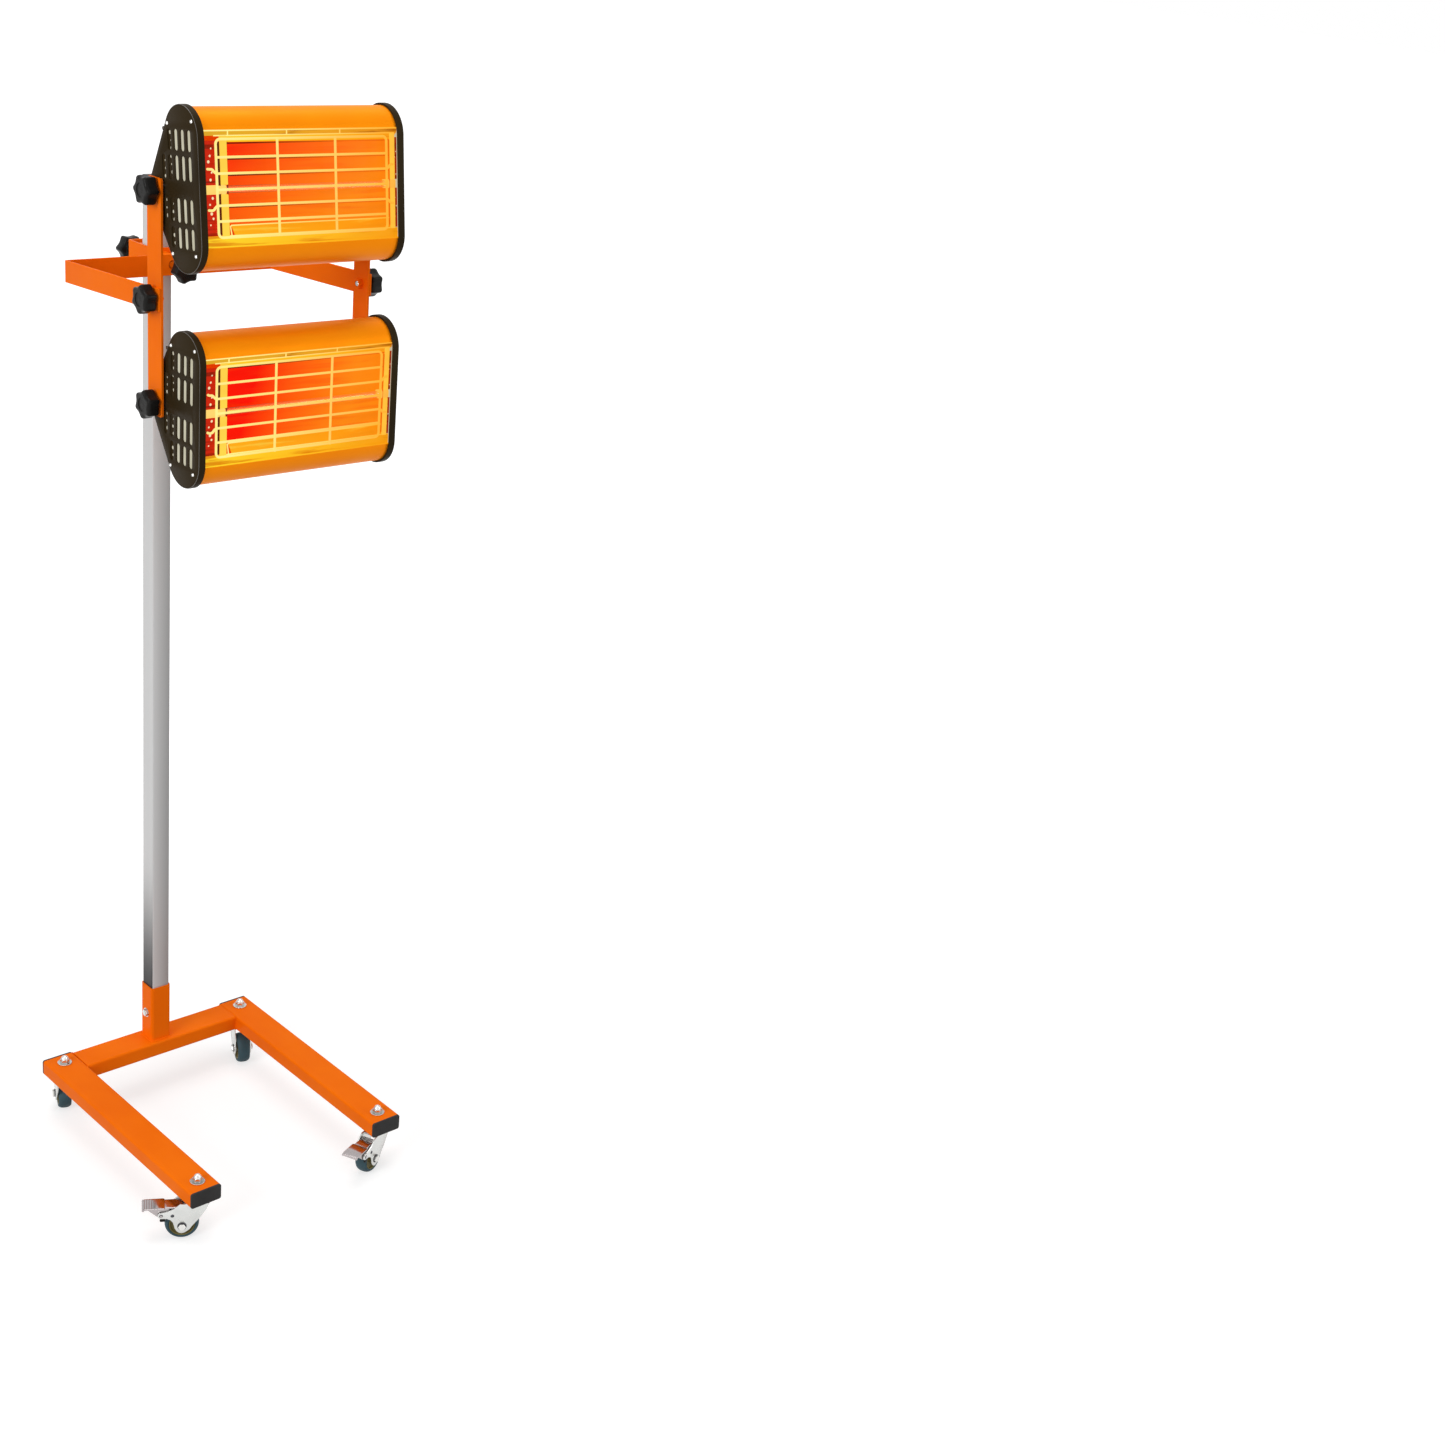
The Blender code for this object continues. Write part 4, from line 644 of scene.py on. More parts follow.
def cover(place, hand, seat):
    """A slotted end cover with a rounded rim, four screws and a painted highlight bead along its edge, over a pale
    liner and a drilled baffle, both glowing with painted light.
    """
    side = SIDES[hand]
    holes = slot_outlines() + [circle(HINGE_HOLE, 24)]
    middle = (side * (COVER_FACE - COVER_SHEET / 2), 0, 0)
    face = plate([head_outline(COVER_EDGE + 0.2)] + holes, COVER_SHEET, 0.3, middle, ALONG_X)
    profile = [(COVER_EDGE, COVER_FACE - 0.3)]
    for step in range(6):
        turn = math.pi / 2 * step / 5
        profile.append((COVER_EDGE * (1 - math.sin(turn)), COVER_FACE - COVER_EDGE * (1 - math.cos(turn))))
    back, under = COVER_FACE - COVER_DEPTH, COVER_FACE - COVER_SHEET
    profile += [(0, back + 0.6), (0.6, back), (COVER_RIM - 0.6, back), (COVER_RIM, back + 0.6)]
    profile += [(COVER_RIM, under), (COVER_EDGE, under + 0.2)]
    rim = loft([at_x(head_outline(inset), side * x) for inset, x in profile], closed=True)
    show(f"{place}_end_cover_{hand}", [face, rim], COVER, seat, [f"{place}_cover_{hand}"], sharp=40)
    ring = ((4.5, 0), (8.8, 0), (9, 0.3), (9, 2.9), (8.6, 3.2), (4.5, 3.2))
    spacer = moved(turned(ring, 40, closed=True), (side * COVER_FACE, 0, 0), facing(side))
    show(f"{place}_hinge_spacer_{hand}", spacer, BOLT, seat)
    head = ((0, 0.8), (0.8, 0.9), (1, 1.5), (1.7, 1.3), (2.3, 0.6), (2.5, 0), (2.5, -0.8))
    screws = [moved(turned(head, 20), (side * COVER_FACE, y, z), facing(side)) for y, z in COVER_SCREWS]
    show(f"{place}_cover_screws_{hand}", screws, BOLT, seat)
    for name, outlines, depth, finish in (
        ("liner", [head_outline(COVER_RIM + 1.5), circle(HINGE_CLEARANCE, 24)], LINER_DEPTH, LINER_GLOW),
        ("baffle", baffle_outlines(), BAFFLE_DEPTH, BAFFLE),
    ):
        sheet = plate(outlines, 0.6, 0.1, (side * (COVER_FACE - depth), 0, 0), ALONG_X)
        show(f"{place}_{name}_{hand}", sheet, finish, seat)
    # The bead is a painted highlight along the cover's rolled edge.
    bead = sweep(at_x(head_outline(0.7), side * (COVER_FACE - 0.5)), 0.5, 8, closed=True)
    show(f"{place}_cover_highlight_bead_{hand}", bead, EDGE_HIGHLIGHT, seat)


def shell(place, seat):
    """The rolled orange sheet, with folded hems at the mouth that glow with painted light."""
    half = COVER_FACE - COVER_PLATE - 0.4
    outer, inner = open_at_mouth(head_outline(3)), open_at_mouth(head_outline(4.2))
    sheet = prism(outer + inner[::-1], at_x, -half, half)
    show(f"{place}_rolled_shell", sheet, SHELL_ORANGE, seat, [f"{place}_shell"], sharp=30)
    for name, (y, z), inwards, finish in (
        ("top_hem", outer[0], 0.9, PALE_GLOW), ("foot_hem", outer[-1], -0.9, YELLOW_GLOW),
    ):
        rod = sweep([(x, y + 0.9, z - inwards) for x in (-half, half)], 1, 10)
        show(f"{place}_{name}", rod, finish, seat)


def flat_bar(low_x, high_x, low_z, high_z, y, thickness=1.2):
    """A thin upright bar that faces forward."""
    return plate([panel(low_x, high_x, low_z, high_z, 0.8, 3)], thickness, 0.3, (0, y, 0), ALONG_Y)


def sheet_along_x(outline, low, high):
    """A thin sheet that follows a row of (y, z) points, between two places along X."""
    back = [(y + 0.9, z) for y, z in reversed(outline)]
    return prism(outline + back, at_x, low, high)


TRAY_BOTTOM, TRAY_HALF = FLANGE + 9, 152.1
FLOOR_LEFT, FLOOR_RIGHT, FLOOR_LOW, FLOOR_HIGH = -109.5, 143.4, -39.2, 62.7
FOLD_FOOT, FOLD_TOP = -51, 71.2
END_HOLES = ((56, 1.2), (47, 1.6), (40, 2), (27, 1.4), (18, 1.8))
END_PLATES = ((-151, -124), (143.6, 150.6))


def tray(place, seat):
    """The reflector: a floor, slanted walls and folded flanges that glow with painted light, crease lines with
    painted highlights, bright end strips and painted shadow lines.
    """
    bottom, half, left, right = TRAY_BOTTOM, TRAY_HALF, FLOOR_LEFT, FLOOR_RIGHT
    floor = flat_bar(left, right, FLOOR_LOW - 2, FLOOR_HIGH + 2, bottom + 0.6, 1)
    show(f"{place}_reflector_floor", floor, FLOOR_GLOWS[place], seat, [f"{place}_reflector"])
    top_wall = [(bottom, FLOOR_HIGH), (bottom - 4.2, 66.8), (FLANGE, FOLD_TOP)]
    foot_flange = [(FLANGE, FOLD_FOOT), (FLANGE - 0.6, -58), (FLANGE, -65.5)]
    bright = gather(sheet_along_x(top_wall, left - 4, right + 4), sheet_along_x(foot_flange, -half, half))
    show(f"{place}_reflector_bright_walls", bright, YELLOW_GLOW, seat)
    top_flange = [(FLANGE, FOLD_TOP), (FLANGE - 0.5, 75), (FLANGE, 79.6)]
    show(f"{place}_reflector_gold_wall", sheet_along_x(top_flange, -half, half), BAND_GLOW, seat)
    foot_wall = [(bottom, FLOOR_LOW), (bottom - 4.8, -45), (FLANGE, FOLD_FOOT)]
    show(f"{place}_reflector_foot_wall", sheet_along_x(foot_wall, left + 8, right), FOOT_GLOW, seat)
    edge = bottom - 0.4
    corner = [
        (right, edge, FLOOR_LOW), (left + 8.5, edge, FLOOR_LOW), (left + 6.5, edge, FLOOR_LOW - 1.4),
        (left + 3, FLANGE, FOLD_FOOT),
    ]
    # Painted highlights: pale glowing rods along the folds.
    crease_highlights = [sweep(corner, 0.8, 8)]
    for low_x, y, z in ((-128, FLANGE - 0.4, FOLD_TOP), (left, FLANGE - 0.2, FOLD_FOOT - 0.2)):
        crease_highlights.append(sweep([(low_x, y, z), (144, y, z)], 0.8, 8))
    for x in (-108, -22, 58.6):
        crease_highlights.append(sweep([(x, FLANGE - 0.4, 70.5), (x, FLANGE - 0.4, 78.5)], 0.9, 8))
    crease_highlights.append(flat_bar(150.6, 151.9, -50, 78, FLANGE - 0.6))
    show(f"{place}_reflector_crease_highlights", crease_highlights, PALE_GLOW, seat)
    strips = [
        flat_bar(low_x, high_x, low_z, high_z, FLANGE - 0.8, 2)
        for low_x, high_x in ((-120.5, -110.5), (136.5, 143.7))
        for low_z, high_z in ((-52, 0.2), (11.8, FOLD_TOP))
    ]
    show(f"{place}_reflector_strips", strips, STRIP_GLOW, seat)
    # Painted shadow: dark strips beside the end strips and under the rungs.
    shadow_strips = [
        flat_bar(-124.6, -120.3, -50, 64, FLANGE - 0.1), flat_bar(-110.8, -109.4, -44, 63, FLANGE + 0.2),
        flat_bar(135.2, 136.8, -48, 62, FLANGE + 0.2),
    ]
    shadows = [(z - 4.1, z - 3.1) for z in RUNGS[:2] + RUNGS[3:4]] + [(FLOOR_HIGH - 2.2, FLOOR_HIGH - 0.6)]
    shadow_strips += [flat_bar(left, right, low_z, high_z, bottom - 0.2, 0.6) for low_z, high_z in shadows]
    show(f"{place}_reflector_shadow_lines", shadow_strips, DARK_GLOW, seat)


def end_plates(place, seat):
    """Drilled plates at the tray's ends, above and below the tube, with bright backs behind their holes; plates
    and backs glow with painted light.
    """
    fronts, backs = [], []
    for low_x, high_x in END_PLATES:
        on_left = low_x < 0
        middle = (low_x + high_x) / 2 + (3.5 if on_left else 0)
        for sign, stretch, reach in ((1, 1, 65.5), (-1, 0.86, -50.5)):
            drilled = []
            for n, (z, size) in enumerate(END_HOLES):
                centre = (middle + 2.4 * math.sin(n * 2.1 + sign), 6 + sign * (z - 6) * stretch)
                drilled.append(circle(size if on_left else size / 2, 12, centre))
            low_z, high_z = sorted((6 + sign * 5.6, reach))
            front = [panel(low_x, high_x, low_z, high_z, 0.8)] + drilled
            fronts.append(plate(front, 0.9, 0.2, (0, FLANGE + 0.5, 0), ALONG_Y))
            back = [panel(low_x + 0.6, high_x - 0.6, low_z + 1, high_z - 1, 0.6)]
            backs.append(plate(back, 0.6, 0.1, (0, FLANGE + 2.2, 0), ALONG_Y))
    show(f"{place}_end_plates", fronts, END_GLOW, seat)
    show(f"{place}_end_plate_backs", backs, HOLE_GLOW, seat)


def guard(place, seat):
    """The welded wire guard: a bent frame, five rungs with two pairs of hooks, and two uprights, all glowing with
    painted light.
    """
    radius = 1.6
    left, right, low, high = -127.8, 128.8, -52.5, 67.3
    wires = [sweep(at_y(panel(left, right, low, high, 6, 6), WIRE_PLANE), radius, 12, closed=True)]
    for number, z in enumerate(RUNGS):
        if number % 2 == 0:
            points = [(left, WIRE_PLANE, z), (right, WIRE_PLANE, z)]
        else:
            hooked = z + (5.5 if number == 1 else -5.5)
            half = [
                (1.5, WIRE_PLANE, z), (6.2, WIRE_PLANE, hooked), (10.5, WIRE_PLANE, hooked),
                (10.5, FLANGE - 0.2, hooked),
            ]
            lead = [(left - x, y, h) for x, y, h in reversed(half)]
            points = eased(lead + [(right + x, y, h) for x, y, h in half], 3)
        wires.append(sweep(points, radius, 12))
    for x in UPRIGHTS:
        wires.append(sweep([(x, WIRE_PLANE - 2, low - 1), (x, WIRE_PLANE - 2, high + 1)], radius, 12))
    show(f"{place}_guard_wires", wires, WIRE_GLOW, seat, [f"{place}_guard"], sharp=60)


def tube(place, seat):
    """The quartz tube with its coiled filament and ceramic holders; the holders glow with painted light."""
    near, far = -114.6, 129.6
    wall = ((4.4, near), (4.5, near + 0.6), (4.5, far - 0.6), (4.4, far), (3.6, far), (3.6, near))
    quartz = moved(turned(wall, 28, closed=True), (0, TUBE_PLANE, TUBE_RISE), facing(1))
    show(f"{place}_quartz", quartz, TUBE_GLASS, seat, [f"{place}_quartz_tube"])
    turns, radius, half, points = 96, 0.7, 108, []
    for step in range(turns * 8 + 1):
        t = step / (turns * 8)
        angle = turns * FULL_TURN * t
        y, z = TUBE_PLANE + radius * math.cos(angle), TUBE_RISE + radius * math.sin(angle)
        points.append((half * (2 * t - 1), y, z))
    show(f"{place}_filament", sweep(points, 0.4, 5), FILAMENT, seat, sharp=80)
    low, high = TUBE_PLANE - 4.5, TUBE_PLANE + 5.5
    full = panel(low, high, TUBE_RISE - 5.6, TUBE_RISE + 5.6, 2, 4)
    slim = panel(low + 1.2, high - 1.2, TUBE_RISE - 4.6, TUBE_RISE + 4.6, 1.5, 4)
    for hand, start in (("left", 112.2), ("right", 128.8)):
        steps = (
            (slim, start), (full, start + 0.8), (full, start + 6), (slim, start + 6.8), (slim, start + 8),
            (full, start + 8.8), (full, 145), (slim, 145.8),
        )
        holder = loft([at_x(outline, SIDES[hand] * x) for outline, x in steps])
        names = [f"{place}_tube_holder_{hand}"]
        show(f"{place}_holder_{hand}", holder, CERAMIC_GLOW, seat, names, edge=0.5)


def rocker(place, seat):
    """A rocker in a raised bezel, with the plain marks for on and off."""
    body, matrix = seat
    matrix = matrix @ slope_frame(0, 0.45, 90)
    bezel = plate([rounded(10, 13, 2), rounded(7.8, 10.8, 1)], 1.8, offset=(0, 0, 1.1))
    show(f"{place}_switch_bezel", bezel, BLACK, (body, matrix))
    half, foot = 10.3, -3.8
    dished = [(half * t, 1.6 + 1.4 * t * t) for t in (-1 + step / 4 for step in range(9))]
    outline = [(-half, foot)] + dished + [(half, foot)]
    name = f"{place}_rocker_switch"
    seat = (name, matrix @ Matrix.Rotation(math.radians(6), 4, "X"))
    bar = prism(outline, at_x, -7.3, 7.3)
    show(f"{place}_rocker", bar, BLACK, seat, [name], edge=0.5)
    mark_on = plate([rounded(0.4, 1.8, 0.3)], 0.4, 0.1, (0, -6.2, 2.55))
    mark_off = plate([circle(1.9, 24), circle(1.2, 24)], 0.4, 0.1, (0, 6.2, 2.55))
    show(f"{place}_rocker_marks", [mark_on, mark_off], MARK_WHITE, seat)


def ribbed(radius, wave, height, sides=48, ribs=12):
    """A ring of a ribbed nut."""
    turns = [FULL_TURN * i / sides for i in range(sides)]
    return at_z([point_at(turn, radius + wave * math.cos(ribs * turn)) for turn in turns], height)


def gland(place, seat):
    """A cord gland: a hexagon base, a ribbed dome nut and an open bore."""
    body, matrix = seat
    seat = (body, matrix @ slope_frame(1, 0.5, 0))
    hexed = prism(hexagon(15.5, math.pi / 6), at_z, 0.3, 4.3)
    show(f"{place}_gland_hex", hexed, BLACK, seat, edge=0.7)
    rings = (
        (6.6, 0.2, 4.3), (6.9, 0.3, 4.8), (6.9, 0.3, 11.5), (6.3, 0.1, 13.8), (5, 0, 15.6), (3.6, 0, 16.3),
        (3.5, 0, 15), (3.5, 0, -7.8), (5.9, 0, -7.8), (5.9, 0, 4.3),
    )
    nut = loft([ribbed(*ring) for ring in rings], closed=True)
    show(f"{place}_gland", nut, BLACK, seat, [f"{place}_cord_gland"])


# Knobs

KNOB_POINT, KNOB_WAIST, KNOB_CORNERS = 21, 15.8, 12
POINT_CURVE, WAIST_CURVE = 3.6, 4
THREAD_PITCH = 1.25
KNOB_NECKS = {"roll_knob": 22, "clamp_knob": 5.5}
KNOB_TURNS = {
    "upper_head_knob_left": 30, "frame_tilt_knob_left": 52, "lower_head_knob_left": 54, "roll_knob": 12,
}


def star(inset=0.0, soft=1.0):
    """A six lobed star with rounded points and nearly straight flanks, drawn in by an inset."""
    corners = []
    for n in range(KNOB_CORNERS):
        size = (KNOB_WAIST if n % 2 else KNOB_POINT) - inset
        corners.append(Vector(point_at(FULL_TURN * n / KNOB_CORNERS, size)))
    points = []
    for n, corner in enumerate(corners):
        after = corners[(n + 1) % KNOB_CORNERS]
        points += bend(corners[n - 1], corner, after, (WAIST_CURVE if n % 2 else POINT_CURVE) * soft)
    return points


def disc(radius):
    """A circle with as many points as a star, in step with them."""
    return circle(radius, KNOB_CORNERS * (CORNER_STEPS + 1), phase=-0.1)


def star_knob(name, neck, phase):
    """A six lobed knob with rolled edges, a recessed cap and its screw."""
    joint = JOINTS[f"{name}_turn"]
    place, out = Vector(joint["pos_m"]), Vector(joint["axis"]).normalized()
    turn = Vector((0, 0, 1)).rotation_difference(out).to_matrix().to_4x4()
    seat = (name, Matrix.Translation(place) @ turn @ Matrix.Rotation(math.radians(phase), 4, "Z"))
    end = min((corner - place).dot(out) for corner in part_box(name)) / MM
    base = 0.3 + neck
    rings = (
        (disc(10.5), 0), (disc(11), 0.5), (disc(11), 1.6), (star(5, 0.7), 2.2), (star(1.6), 2.6),
        (star(0.4), 3.8), (star(), 5.6), (star(), 15), (star(0.4), 17.2), (star(1.4), 18.6), (star(3), 19.4),
        (star(5.2, 0.8), 19.5), (disc(9.2), 19.4), (disc(8.8), 18.4), (disc(5), 18.2), (disc(1.2), 18.5),
    )
    grip = loft([at_z(outline, base + height) for outline, height in rings])
    show(f"{name}_grip", grip, BLACK, seat, [name], sharp=50)
    thread = end + 0.8
    screw = [(3, end), (3.9, thread)]
    while thread < base - 1.2:
        screw += [(3.95, thread + 0.3), (3.6, thread + 0.9)]
        thread += THREAD_PITCH
    parts = [turned(screw + [(3.9, base)], 20)]
    if neck:
        parts.append(turned(((6.8, 0.3), (7, 0.6), (7, neck)), 28))
    show(f"{name}_screw", parts, BOLT, seat)


# Casters, in frames on the floor under their stems

LEG_TOP, NUT_FLATS = 93, 13
AXLE = Vector((22, 0, 25))
PIN_X, PIN_Z, EYE_RADIUS = 52, 44.7, 5.2
CHEEK = (
    (-17.6, 63.3), (-12.5, 51.9), (-8, 44.5), (-3.1, 37.5), (2.5, 30.5), (7.3, 24.6), (11, 19), (14.8, 15.8),
    (18.5, 13.4), (22.4, 12.5), (26.6, 13.6), (30.4, 17.3), (32.8, 22), (33.7, 26.8),
)
PLAIN_CHEEK = ((33, 35), (32.2, 43), (29.5, 50), (26.2, 56), (23.1, 63.3))


def nut_ring(trim, height, sides=48):
    """A ring of the cap nut's hexagon, with its corners trimmed."""
    half, sixth = NUT_FLATS / 2, math.pi / 6
    ring = []
    for turn in (FULL_TURN * i / sides for i in range(sides)):
        flank = half / math.cos((turn + sixth) % (math.pi / 3) - sixth)
        ring.append(point_at(turn, min(half / math.cos(sixth) - trim, flank)))
    return at_z(ring, height)


def caster_stem(corner):
    """Washer, hexagon cap nut and stem above the leg; raceway, rivet and seal below it."""
    name = f"caster_stem_{corner}"
    low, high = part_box(name)
    seat = ("base", Matrix.Translation(((low.x + high.x) / 2, (low.y + high.y) / 2, 0)))
    profile = ((4.2, 0.3), (10.7, 0.3), (11, 0.6), (11, 1.6), (10.6, 1.9), (4.2, 1.9))
    washer = turned([(radius, LEG_TOP + height) for radius, height in profile], 40, closed=True)
    flat = LEG_TOP + 1.9
    rings = [nut_ring(trim, flat + rise) for trim, rise in ((0.4, 0), (0, 0.5), (0, 4.7), (0.7, 5.5))]
    for step in range(7):
        t = math.pi / 2 * step / 6
        rings.append(at_z(circle(max(5.75 * math.cos(t), 0.1), 48), flat + 5.5 + 6 * math.sin(t)))
    shank = turned(((4, 61.2), (4, flat)), 20)
    show(f"{name}_bright", [washer, loft(rings), shank], BOLT, seat, [name], sharp=30)
    profile = ((4, 64.7), (16.5, 64.7), (18.2, 65), (19.8, 66), (20, 66.8), (19.6, 67.7), (4, 67.7))
    race = turned(profile, 40, closed=True)
    rivet = turned(((4, 59.6), (6, 59.8), (7, 60.6), (7, 61.4), (4, 61.5)), 28, closed=True)
    show(f"{name}_race", [race, rivet], ZINC, seat, sharp=30)
    seal = turned(((17.2, 64), (20.2, 64), (20.4, 65.3), (17.2, 65.3)), 40, closed=True)
    show(f"{name}_seal", seal, BLACK, seat)


def caster_frame(corner):
    """The caster's own frame: X along its trail, on the floor under its stem."""
    swivel = Vector(JOINTS[f"caster_swivel_{corner}"]["pos_m"])
    axle = Vector(JOINTS[f"wheel_roll_{corner}"]["pos_m"])
    along = Vector((axle.x - swivel.x, axle.y - swivel.y, 0)).normalized()
    return axes(along, Vector((-along.y, along.x, 0)), Vector((0, 0, 1)), (swivel.x, swivel.y, 0))


def cheek_outline(braked):
    """A fork's cheek, with an ear round the pedal's pin where it has a brake."""
    if not braked:
        return CHEEK + PLAIN_CHEEK
    eye = [point_at(math.pi * (n / 8 - 0.5), EYE_RADIUS, (PIN_X, PIN_Z)) for n in range(9)]
    return [*CHEEK, (35.2, 32), (38.5, 36.5), (44, 39.2), *eye, (43, 51.5), (33.7, 55.2), (24.2, 63.3)]


def caster_fork(corner, braked, matrix):
    """A pressed fork: dished plate, two rounded cheeks, rivets, axle bolt, nut and rings."""
    seat = (f"caster_{corner}", matrix)
    outlines = [cheek_outline(braked), circle(2.9, 20, (AXLE.x, AXLE.z))]
    cheeks = [plate(outlines, 2.5, 0.6, (0, side * 12.55, 0), ALONG_Y) for side in (-1, 1)]
    profile = ((4.5, 61.8), (18.5, 61.8), (19.6, 62.2), (20, 63), (19.7, 64), (18.6, 64.4), (4.5, 64.4))
    dish = turned(profile, 40, closed=True)
    bridge = plate([rounded(17, 13.7, 4, (2.2, 0))], 2.2, 0.6, (0, 0, 62.6))
    fork = f"caster_fork_{corner}"
    show(f"{fork}_pressed", [*cheeks, dish, bridge], ZINC, seat, [fork])
    if braked:
        dome = ((0, 1), (0.9, 0.9), (1.7, 0.5), (2.1, 0.1), (2.4, 0.4), (2.8, 0))
        rivets = [
            moved(turned(dome, 20), (x, side * 13.8, z), Matrix.Rotation(-side * math.pi / 2, 4, "X"))
            for side in (-1, 1)
            for x, z in ((PIN_X, PIN_Z), (35.8, 44))
        ]
        show(f"caster_rivets_{corner}", rivets, DARK_STEEL, seat)
    ring = ((4.8, 13.8), (6.6, 13.8), (6.8, 14.1), (6.6, 14.4), (4.8, 14.4))
    rings = gather(*[turned([(r, side * h) for r, h in ring], 28, closed=True) for side in (1, -1)])
    show(f"caster_axle_rings_{corner}", moved(rings, AXLE, ALONG_Y), DARK_STEEL, seat)
    bolt = turned(((0.1, -17.2), (2.4, -17.2), (3, -16.6), (3, 16.6), (2.4, 17.2), (0.1, 17.2)), 20)
    ends = []
    for side, face, tip in ((1, 16.6, 17.2), (-1, 17.2, 17.7)):
        steps = ((9.6, 13.9), (10, 14.3), (10, face), (9.2, tip))
        ends.append(loft([at_z(hexagon(flats), side * height) for flats, height in steps]))
    show(f"caster_axle_{corner}", moved(gather(bolt, *ends), AXLE, ALONG_Y), BOLT, seat)


def caster_wheel(corner, matrix):
    """A tyre with a crowned tread, on a core with a raised hub and a bearing ring each side."""
    axis = matrix @ Matrix.Translation(AXLE * MM) @ Matrix.Rotation(math.pi / 2, 4, "X")
    seat = (f"wheel_{corner}", axis)
    tread = [(25 - 2.2 * abs(t) ** 3, 8.8 * t) for t in (-1 + step / 6 for step in range(13))]
    bead = [(19.2, -9.2), (20.5, -10), (21.8, -9.8)]
    profile = bead + tread + [(radius, -height) for radius, height in reversed(bead)]
    tyre = f"tyre_{corner}"
    rubber = turned(profile, 72, closed=True)
    show(f"{tyre}_crowned", rubber, TYRE, seat, [tyre], sharp=50)
    half = (
        (3.6, -10), (7.8, -10), (8.4, -9.4), (9, -6.6), (10, -6), (15.5, -6), (16.6, -6.8), (17.2, -9.4),
        (18.5, -9.6), (18.7, -9),
    )
    core = f"wheel_core_{corner}"
    hub = turned(mirrored(half), 48, closed=True)
    show(f"{core}_moulded", hub, CORE, seat, [core], sharp=40)
    ring = ((3.5, 9.6), (3.5, 10.3), (6.8, 10.3), (7, 9.6))
    rings = [turned([(r, side * h) for r, h in ring], 32, closed=True) for side in (-1, 1)]
    show(f"wheel_bearing_{corner}", rings, BOLT, seat)


def brake_pedal(corner, matrix):
    """A pressed foot pedal with ribs, a rolled lip, skirts and a shoe bar."""
    body = f"brake_pedal_{corner}"
    seat = (body, matrix)
    top = PIN_Z + 11.6
    tread = plate([rounded(15.5, 13.6, 3, (62, 0))], 2.2, 0.6, (0, 0, top))
    neck = plate([rounded(16.5, 10.8, 2, (36.6, 0))], 2.2, 0.6, (0, 0, top - 0.3))
    bars = [crossbar(77.8, 13.2, top - 1.2, 1.9, 12)]
    bars += [crossbar(x, 12, top + 0.7, 0.9, 10) for x in (66, 69.4, 72.8, 76.2)]
    skirt = [(40.3, 10.8), (42.5, 2), (47, -4.2), (52.5, -4.4), (57.5, -3), (73, 10.8)]
    skirt = [(x, PIN_Z + rise) for x, rise in skirt]
    link = [(45.2, 37.2), (48, 35.8), (54, 43), (49.5, 47)]
    for side in (-1, 1):
        for outline, thickness in ((skirt, 1.9), (link, 1.7)):
            bars.append(plate([outline], thickness, 0.4, (0, side * 9.9, 0), ALONG_Y))
    bars += [crossbar(46.4, 10.6, 37.2, 1.4, 12), crossbar(PIN_X, 14.8, PIN_Z, 2, 16)]
    show(f"{body}_pressed", [tread, neck, *bars], PEDAL_ZINC, seat, [body])
    pad = rounded(4, 2.2, 1.8, (50, 36.2))
    pads = [plate([pad], 2.4, 0.6, (0, side * 12, 0), ALONG_Y) for side in (-1, 1)]
    show(f"{body}_shoe_ends", pads, BLACK, seat)


# Yoke and base details, in place

YOKE_BEND, YOKE_THICKNESS, YOKE_HEIGHT = 4.2, 3, 30
WASHER_FACE, SOCKET_HALF, WELD_FOOT = 161.3, 17, 93.2
CROSS_END, CROSS_HALF_DEPTH, CROSS_LOW, CROSS_HIGH = 136.1, 25.1, 68.5, 92.5
BOLT_FLATS, BOLT_HEIGHT, BOLT_PROUD, BOLT_Z = 10.6, 4, 0.3, 140.3


def strap_yoke():
    """The bent strap, with a real bend radius at its two corners and arms that rise toward the front."""
    low, high = (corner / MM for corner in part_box("yoke"))
    back, radius, thick = high.y, YOKE_BEND, YOKE_THICKNESS
    middle = JOINTS["yoke_roll"]["pos_m"][2] / MM
    hinge = Vector(JOINTS["frame_tilt"]["pos_m"]) / MM
    slope = (hinge.z - middle) / (back - hinge.y)
    outer, inner = [], []
    for side, x in ((-1, low.x), (1, high.x)):
        centre = (x - side * radius, back - radius)
        for step in range(9):
            turn = math.pi / 2 * (1 - step / 8 if side > 0 else step / 8)
            for points, size in ((outer, radius), (inner, radius - thick)):
                points.append((centre[0] + side * size * math.cos(turn), centre[1] + size * math.sin(turn)))
    outer = [(low.x, low.y)] + outer + [(high.x, low.y)]
    inner = [(low.x + thick, low.y)] + inner + [(high.x - thick, low.y)]
    strap = prism(outer + inner[::-1], at_z, middle - YOKE_HEIGHT / 2, middle + YOKE_HEIGHT / 2)
    for vert in strap.verts:
        vert.co.z += slope * (back - vert.co.y)
    show("yoke_strap", strap, ORANGE, ("yoke", None), ["yoke"], edge=0.6, sharp=30)


def hinge_washers():
    """Bright washers on the upright bars, between them and the hinge spacers."""
    for hand, side in SIDES.items():
        for place in HEADS:
            _, y, z = Vector(JOINTS[f"{place}_head_tilt"]["pos_m"]) / MM
            washer = turned(((4.1, 0), (9.5, 0), (9.5, 0.4), (4.1, 0.4)), 32, closed=True)
            washer = moved(washer, (COLUMN.x / MM + side * WASHER_FACE, y, z), facing(side))
            show(f"{place}_washer_{hand}", washer, BOLT, ("lamp_frame", None))


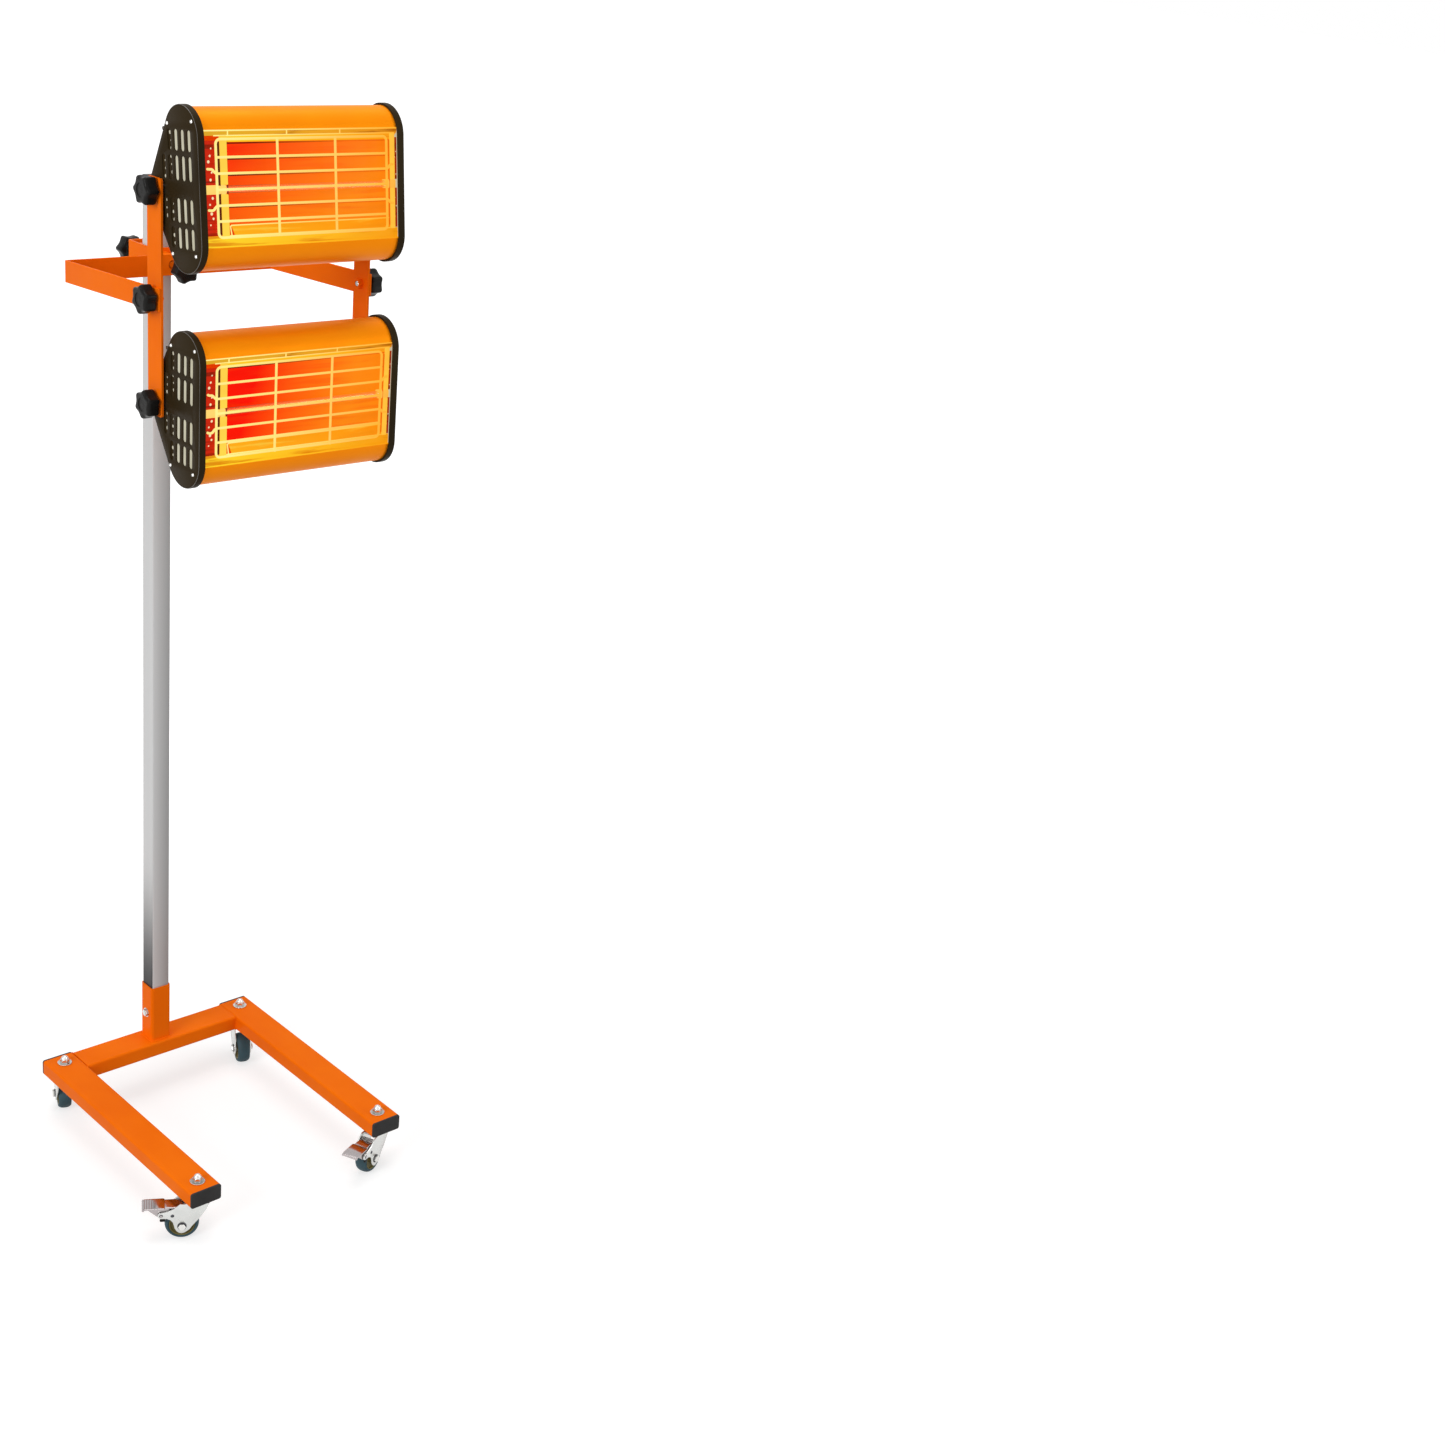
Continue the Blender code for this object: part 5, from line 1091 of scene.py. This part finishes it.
def weld_beads():
    """Painted fillet welds round the socket's foot and where the cross tube meets the legs."""
    x, y, _ = COLUMN / MM
    foot = rounded(SOCKET_HALF + 0.6, SOCKET_HALF + 0.6, 4, (x, y), 4)
    parts = [sweep(at_z(foot, WELD_FOOT), 1.2, 8, closed=True)]
    for end in (x - CROSS_END, x + CROSS_END):
        for face in (y - CROSS_HALF_DEPTH, y + CROSS_HALF_DEPTH):
            parts.append(sweep([(end, face, CROSS_LOW), (end, face, CROSS_HIGH)], 1, 8))
    show("base_welds", parts, ORANGE, ("base", None))


def socket_bolt():
    """A bright hexagon head over the solid's plain one on each side of the socket, on a thin washer."""
    low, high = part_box("column_socket")
    reach = (high.x - low.x) / 2 / MM
    x, y, _ = COLUMN / MM
    height = BOLT_HEIGHT + BOLT_PROUD
    parts = []
    for side in SIDES.values():
        washer = turned(((6, 0), (7.4, 0), (7.6, 0.3), (7.6, 0.9), (6, 0.9)), 32, closed=True)
        head = plate([hexagon(BOLT_FLATS, math.pi / 6)], height, offset=(0, 0, height / 2))
        place = (x + side * (reach - BOLT_HEIGHT), y, BOLT_Z)
        parts.append(moved(gather(washer, head), place, facing(side)))
    show("socket_bolt_ends", parts, BOLT, ("base", None))


# The lamp

for record_part in frame["record"]["subparts"]:
    cad_node = NODES[record_part["node"]]
    cad_node.data.materials.clear()
    plug = "plug" in record_part["node"]
    cad_node.data.materials.append(PLUG_BLACK if plug else FINISHES[record_part["material_slot"]][0])

for place, tilt in HEADS.items():
    hinge = Vector(JOINTS[f"{place}_head_tilt"]["pos_m"])
    head = (f"{place}_head", Matrix.Translation(hinge) @ Matrix.Rotation(math.radians(tilt), 4, "X"))
    for make in (shell, tray, end_plates, guard, tube, rocker, gland):
        make(place, head)
    for hand in SIDES:
        cover(place, hand, head)

for knob in [name for name in NODES if name.endswith("knob") or "_knob_" in name]:
    star_knob(knob, KNOB_NECKS.get(knob, 0.0), KNOB_TURNS.get(knob, 0.0))

for corner in ("front_left", "front_right", "rear_left", "rear_right"):
    placed = caster_frame(corner)
    braked = corner.startswith("front")
    caster_stem(corner)
    caster_fork(corner, braked, placed)
    caster_wheel(corner, placed)
    if braked:
        brake_pedal(corner, placed)

strap_yoke()
hinge_washers()
weld_beads()
socket_bolt()


# Stage, light and camera

FLOOR_NEAR, WORLD_LIGHT = 0.62, 0.42
CAMERA_YAW, CAMERA_PITCH, CAMERA_ROLL = math.radians(46.14), math.radians(-22.28), math.radians(6.25)
CAMERA_LENS, CAMERA_FROM_COLUMN = 53.785, (-1.59898, -2.74426, 2.00476)


def seen_directly(tree):
    """1 for the rays of the camera, of reflections and of clear parts, and 0 for the others."""
    path = added(tree, "LightPath")
    total = path.outputs["Is Camera Ray"]
    for name in ("Is Glossy Ray", "Is Transmission Ray"):
        total = combined("ADD", total, path.outputs[name])
    return total


def stage():
    """A wide pale floor that turns white away from the lamp, under a plain white surround."""
    bpy.ops.mesh.primitive_plane_add(size=60, location=(0, 0, -0.0002))
    floor = bpy.context.object
    floor.name = "studio_floor"
    made, tree, surface = shader("studio_floor_white")
    fixed(surface, Base_Color=(0.5, 0.5, 0.5, 1), Roughness=0.9, Specular_IOR_Level=0.1)
    fixed(surface, Emission_Color=(1, 1, 1, 1))
    distance = added(tree, "VectorMath")
    distance.operation = "LENGTH"
    feed(distance, 0, place_in(tree))
    fade = spread(distance.outputs["Value"], FLOOR_NEAR, 1.0, 0.5, 1.6)
    feed(surface, "Emission Strength", combined("MULTIPLY", seen_directly(tree), fade))
    floor.data.materials.append(made)
    world = bpy.data.worlds.new("studio")
    bpy.context.scene.world = world
    world.use_nodes = True
    tree = world.node_tree
    background = fixed(tree.nodes["Background"], Color=(1, 1, 1, 1))
    feed(background, "Strength", spread(seen_directly(tree), WORLD_LIGHT, 1.0, 0, 1))


def lamp(name, place, aim, size, power):
    light = bpy.data.lights.new(name, "AREA")
    light.shape = "RECTANGLE"
    light.size = light.size_y = size
    light.energy = power
    obj = linked(name, light)
    obj.location = place
    obj.rotation_euler = (Vector(aim) - Vector(place)).to_track_quat("-Z", "Y").to_euler()
    obj.visible_camera = False


def camera():
    """The photograph's viewpoint, found from the lamp's own edges and nuts."""
    level = math.cos(CAMERA_PITCH)
    forward = Vector((math.sin(CAMERA_YAW) * level, math.cos(CAMERA_YAW) * level, math.sin(CAMERA_PITCH)))
    right = Vector((math.cos(CAMERA_YAW), -math.sin(CAMERA_YAW), 0))
    up = right.cross(forward)
    across = right * math.cos(CAMERA_ROLL) + up * math.sin(CAMERA_ROLL)
    upward = up * math.cos(CAMERA_ROLL) - right * math.sin(CAMERA_ROLL)
    data = bpy.data.cameras.new("photo_view")
    data.sensor_width = 36
    data.lens = CAMERA_LENS
    data.clip_start, data.clip_end = 0.05, 100
    obj = linked("photo_view", data)
    obj.matrix_world = axes(across, upward, -forward, Vector(CAMERA_FROM_COLUMN) + COLUMN)
    bpy.context.scene.camera = obj


stage()
lamp("key", (-4.6, -1.2, 2.6), (0, 0, 0.9), 2.4, 130)
lamp("fill", (3.0, -3.2, 2.4), (0, 0, 0.9), 2.5, 40)
lamp("top", (0.2, 0.4, 4.4), (0, 0, 0.6), 2.5, 60)
camera()
bpy.context.scene.view_settings.view_transform = "Standard"
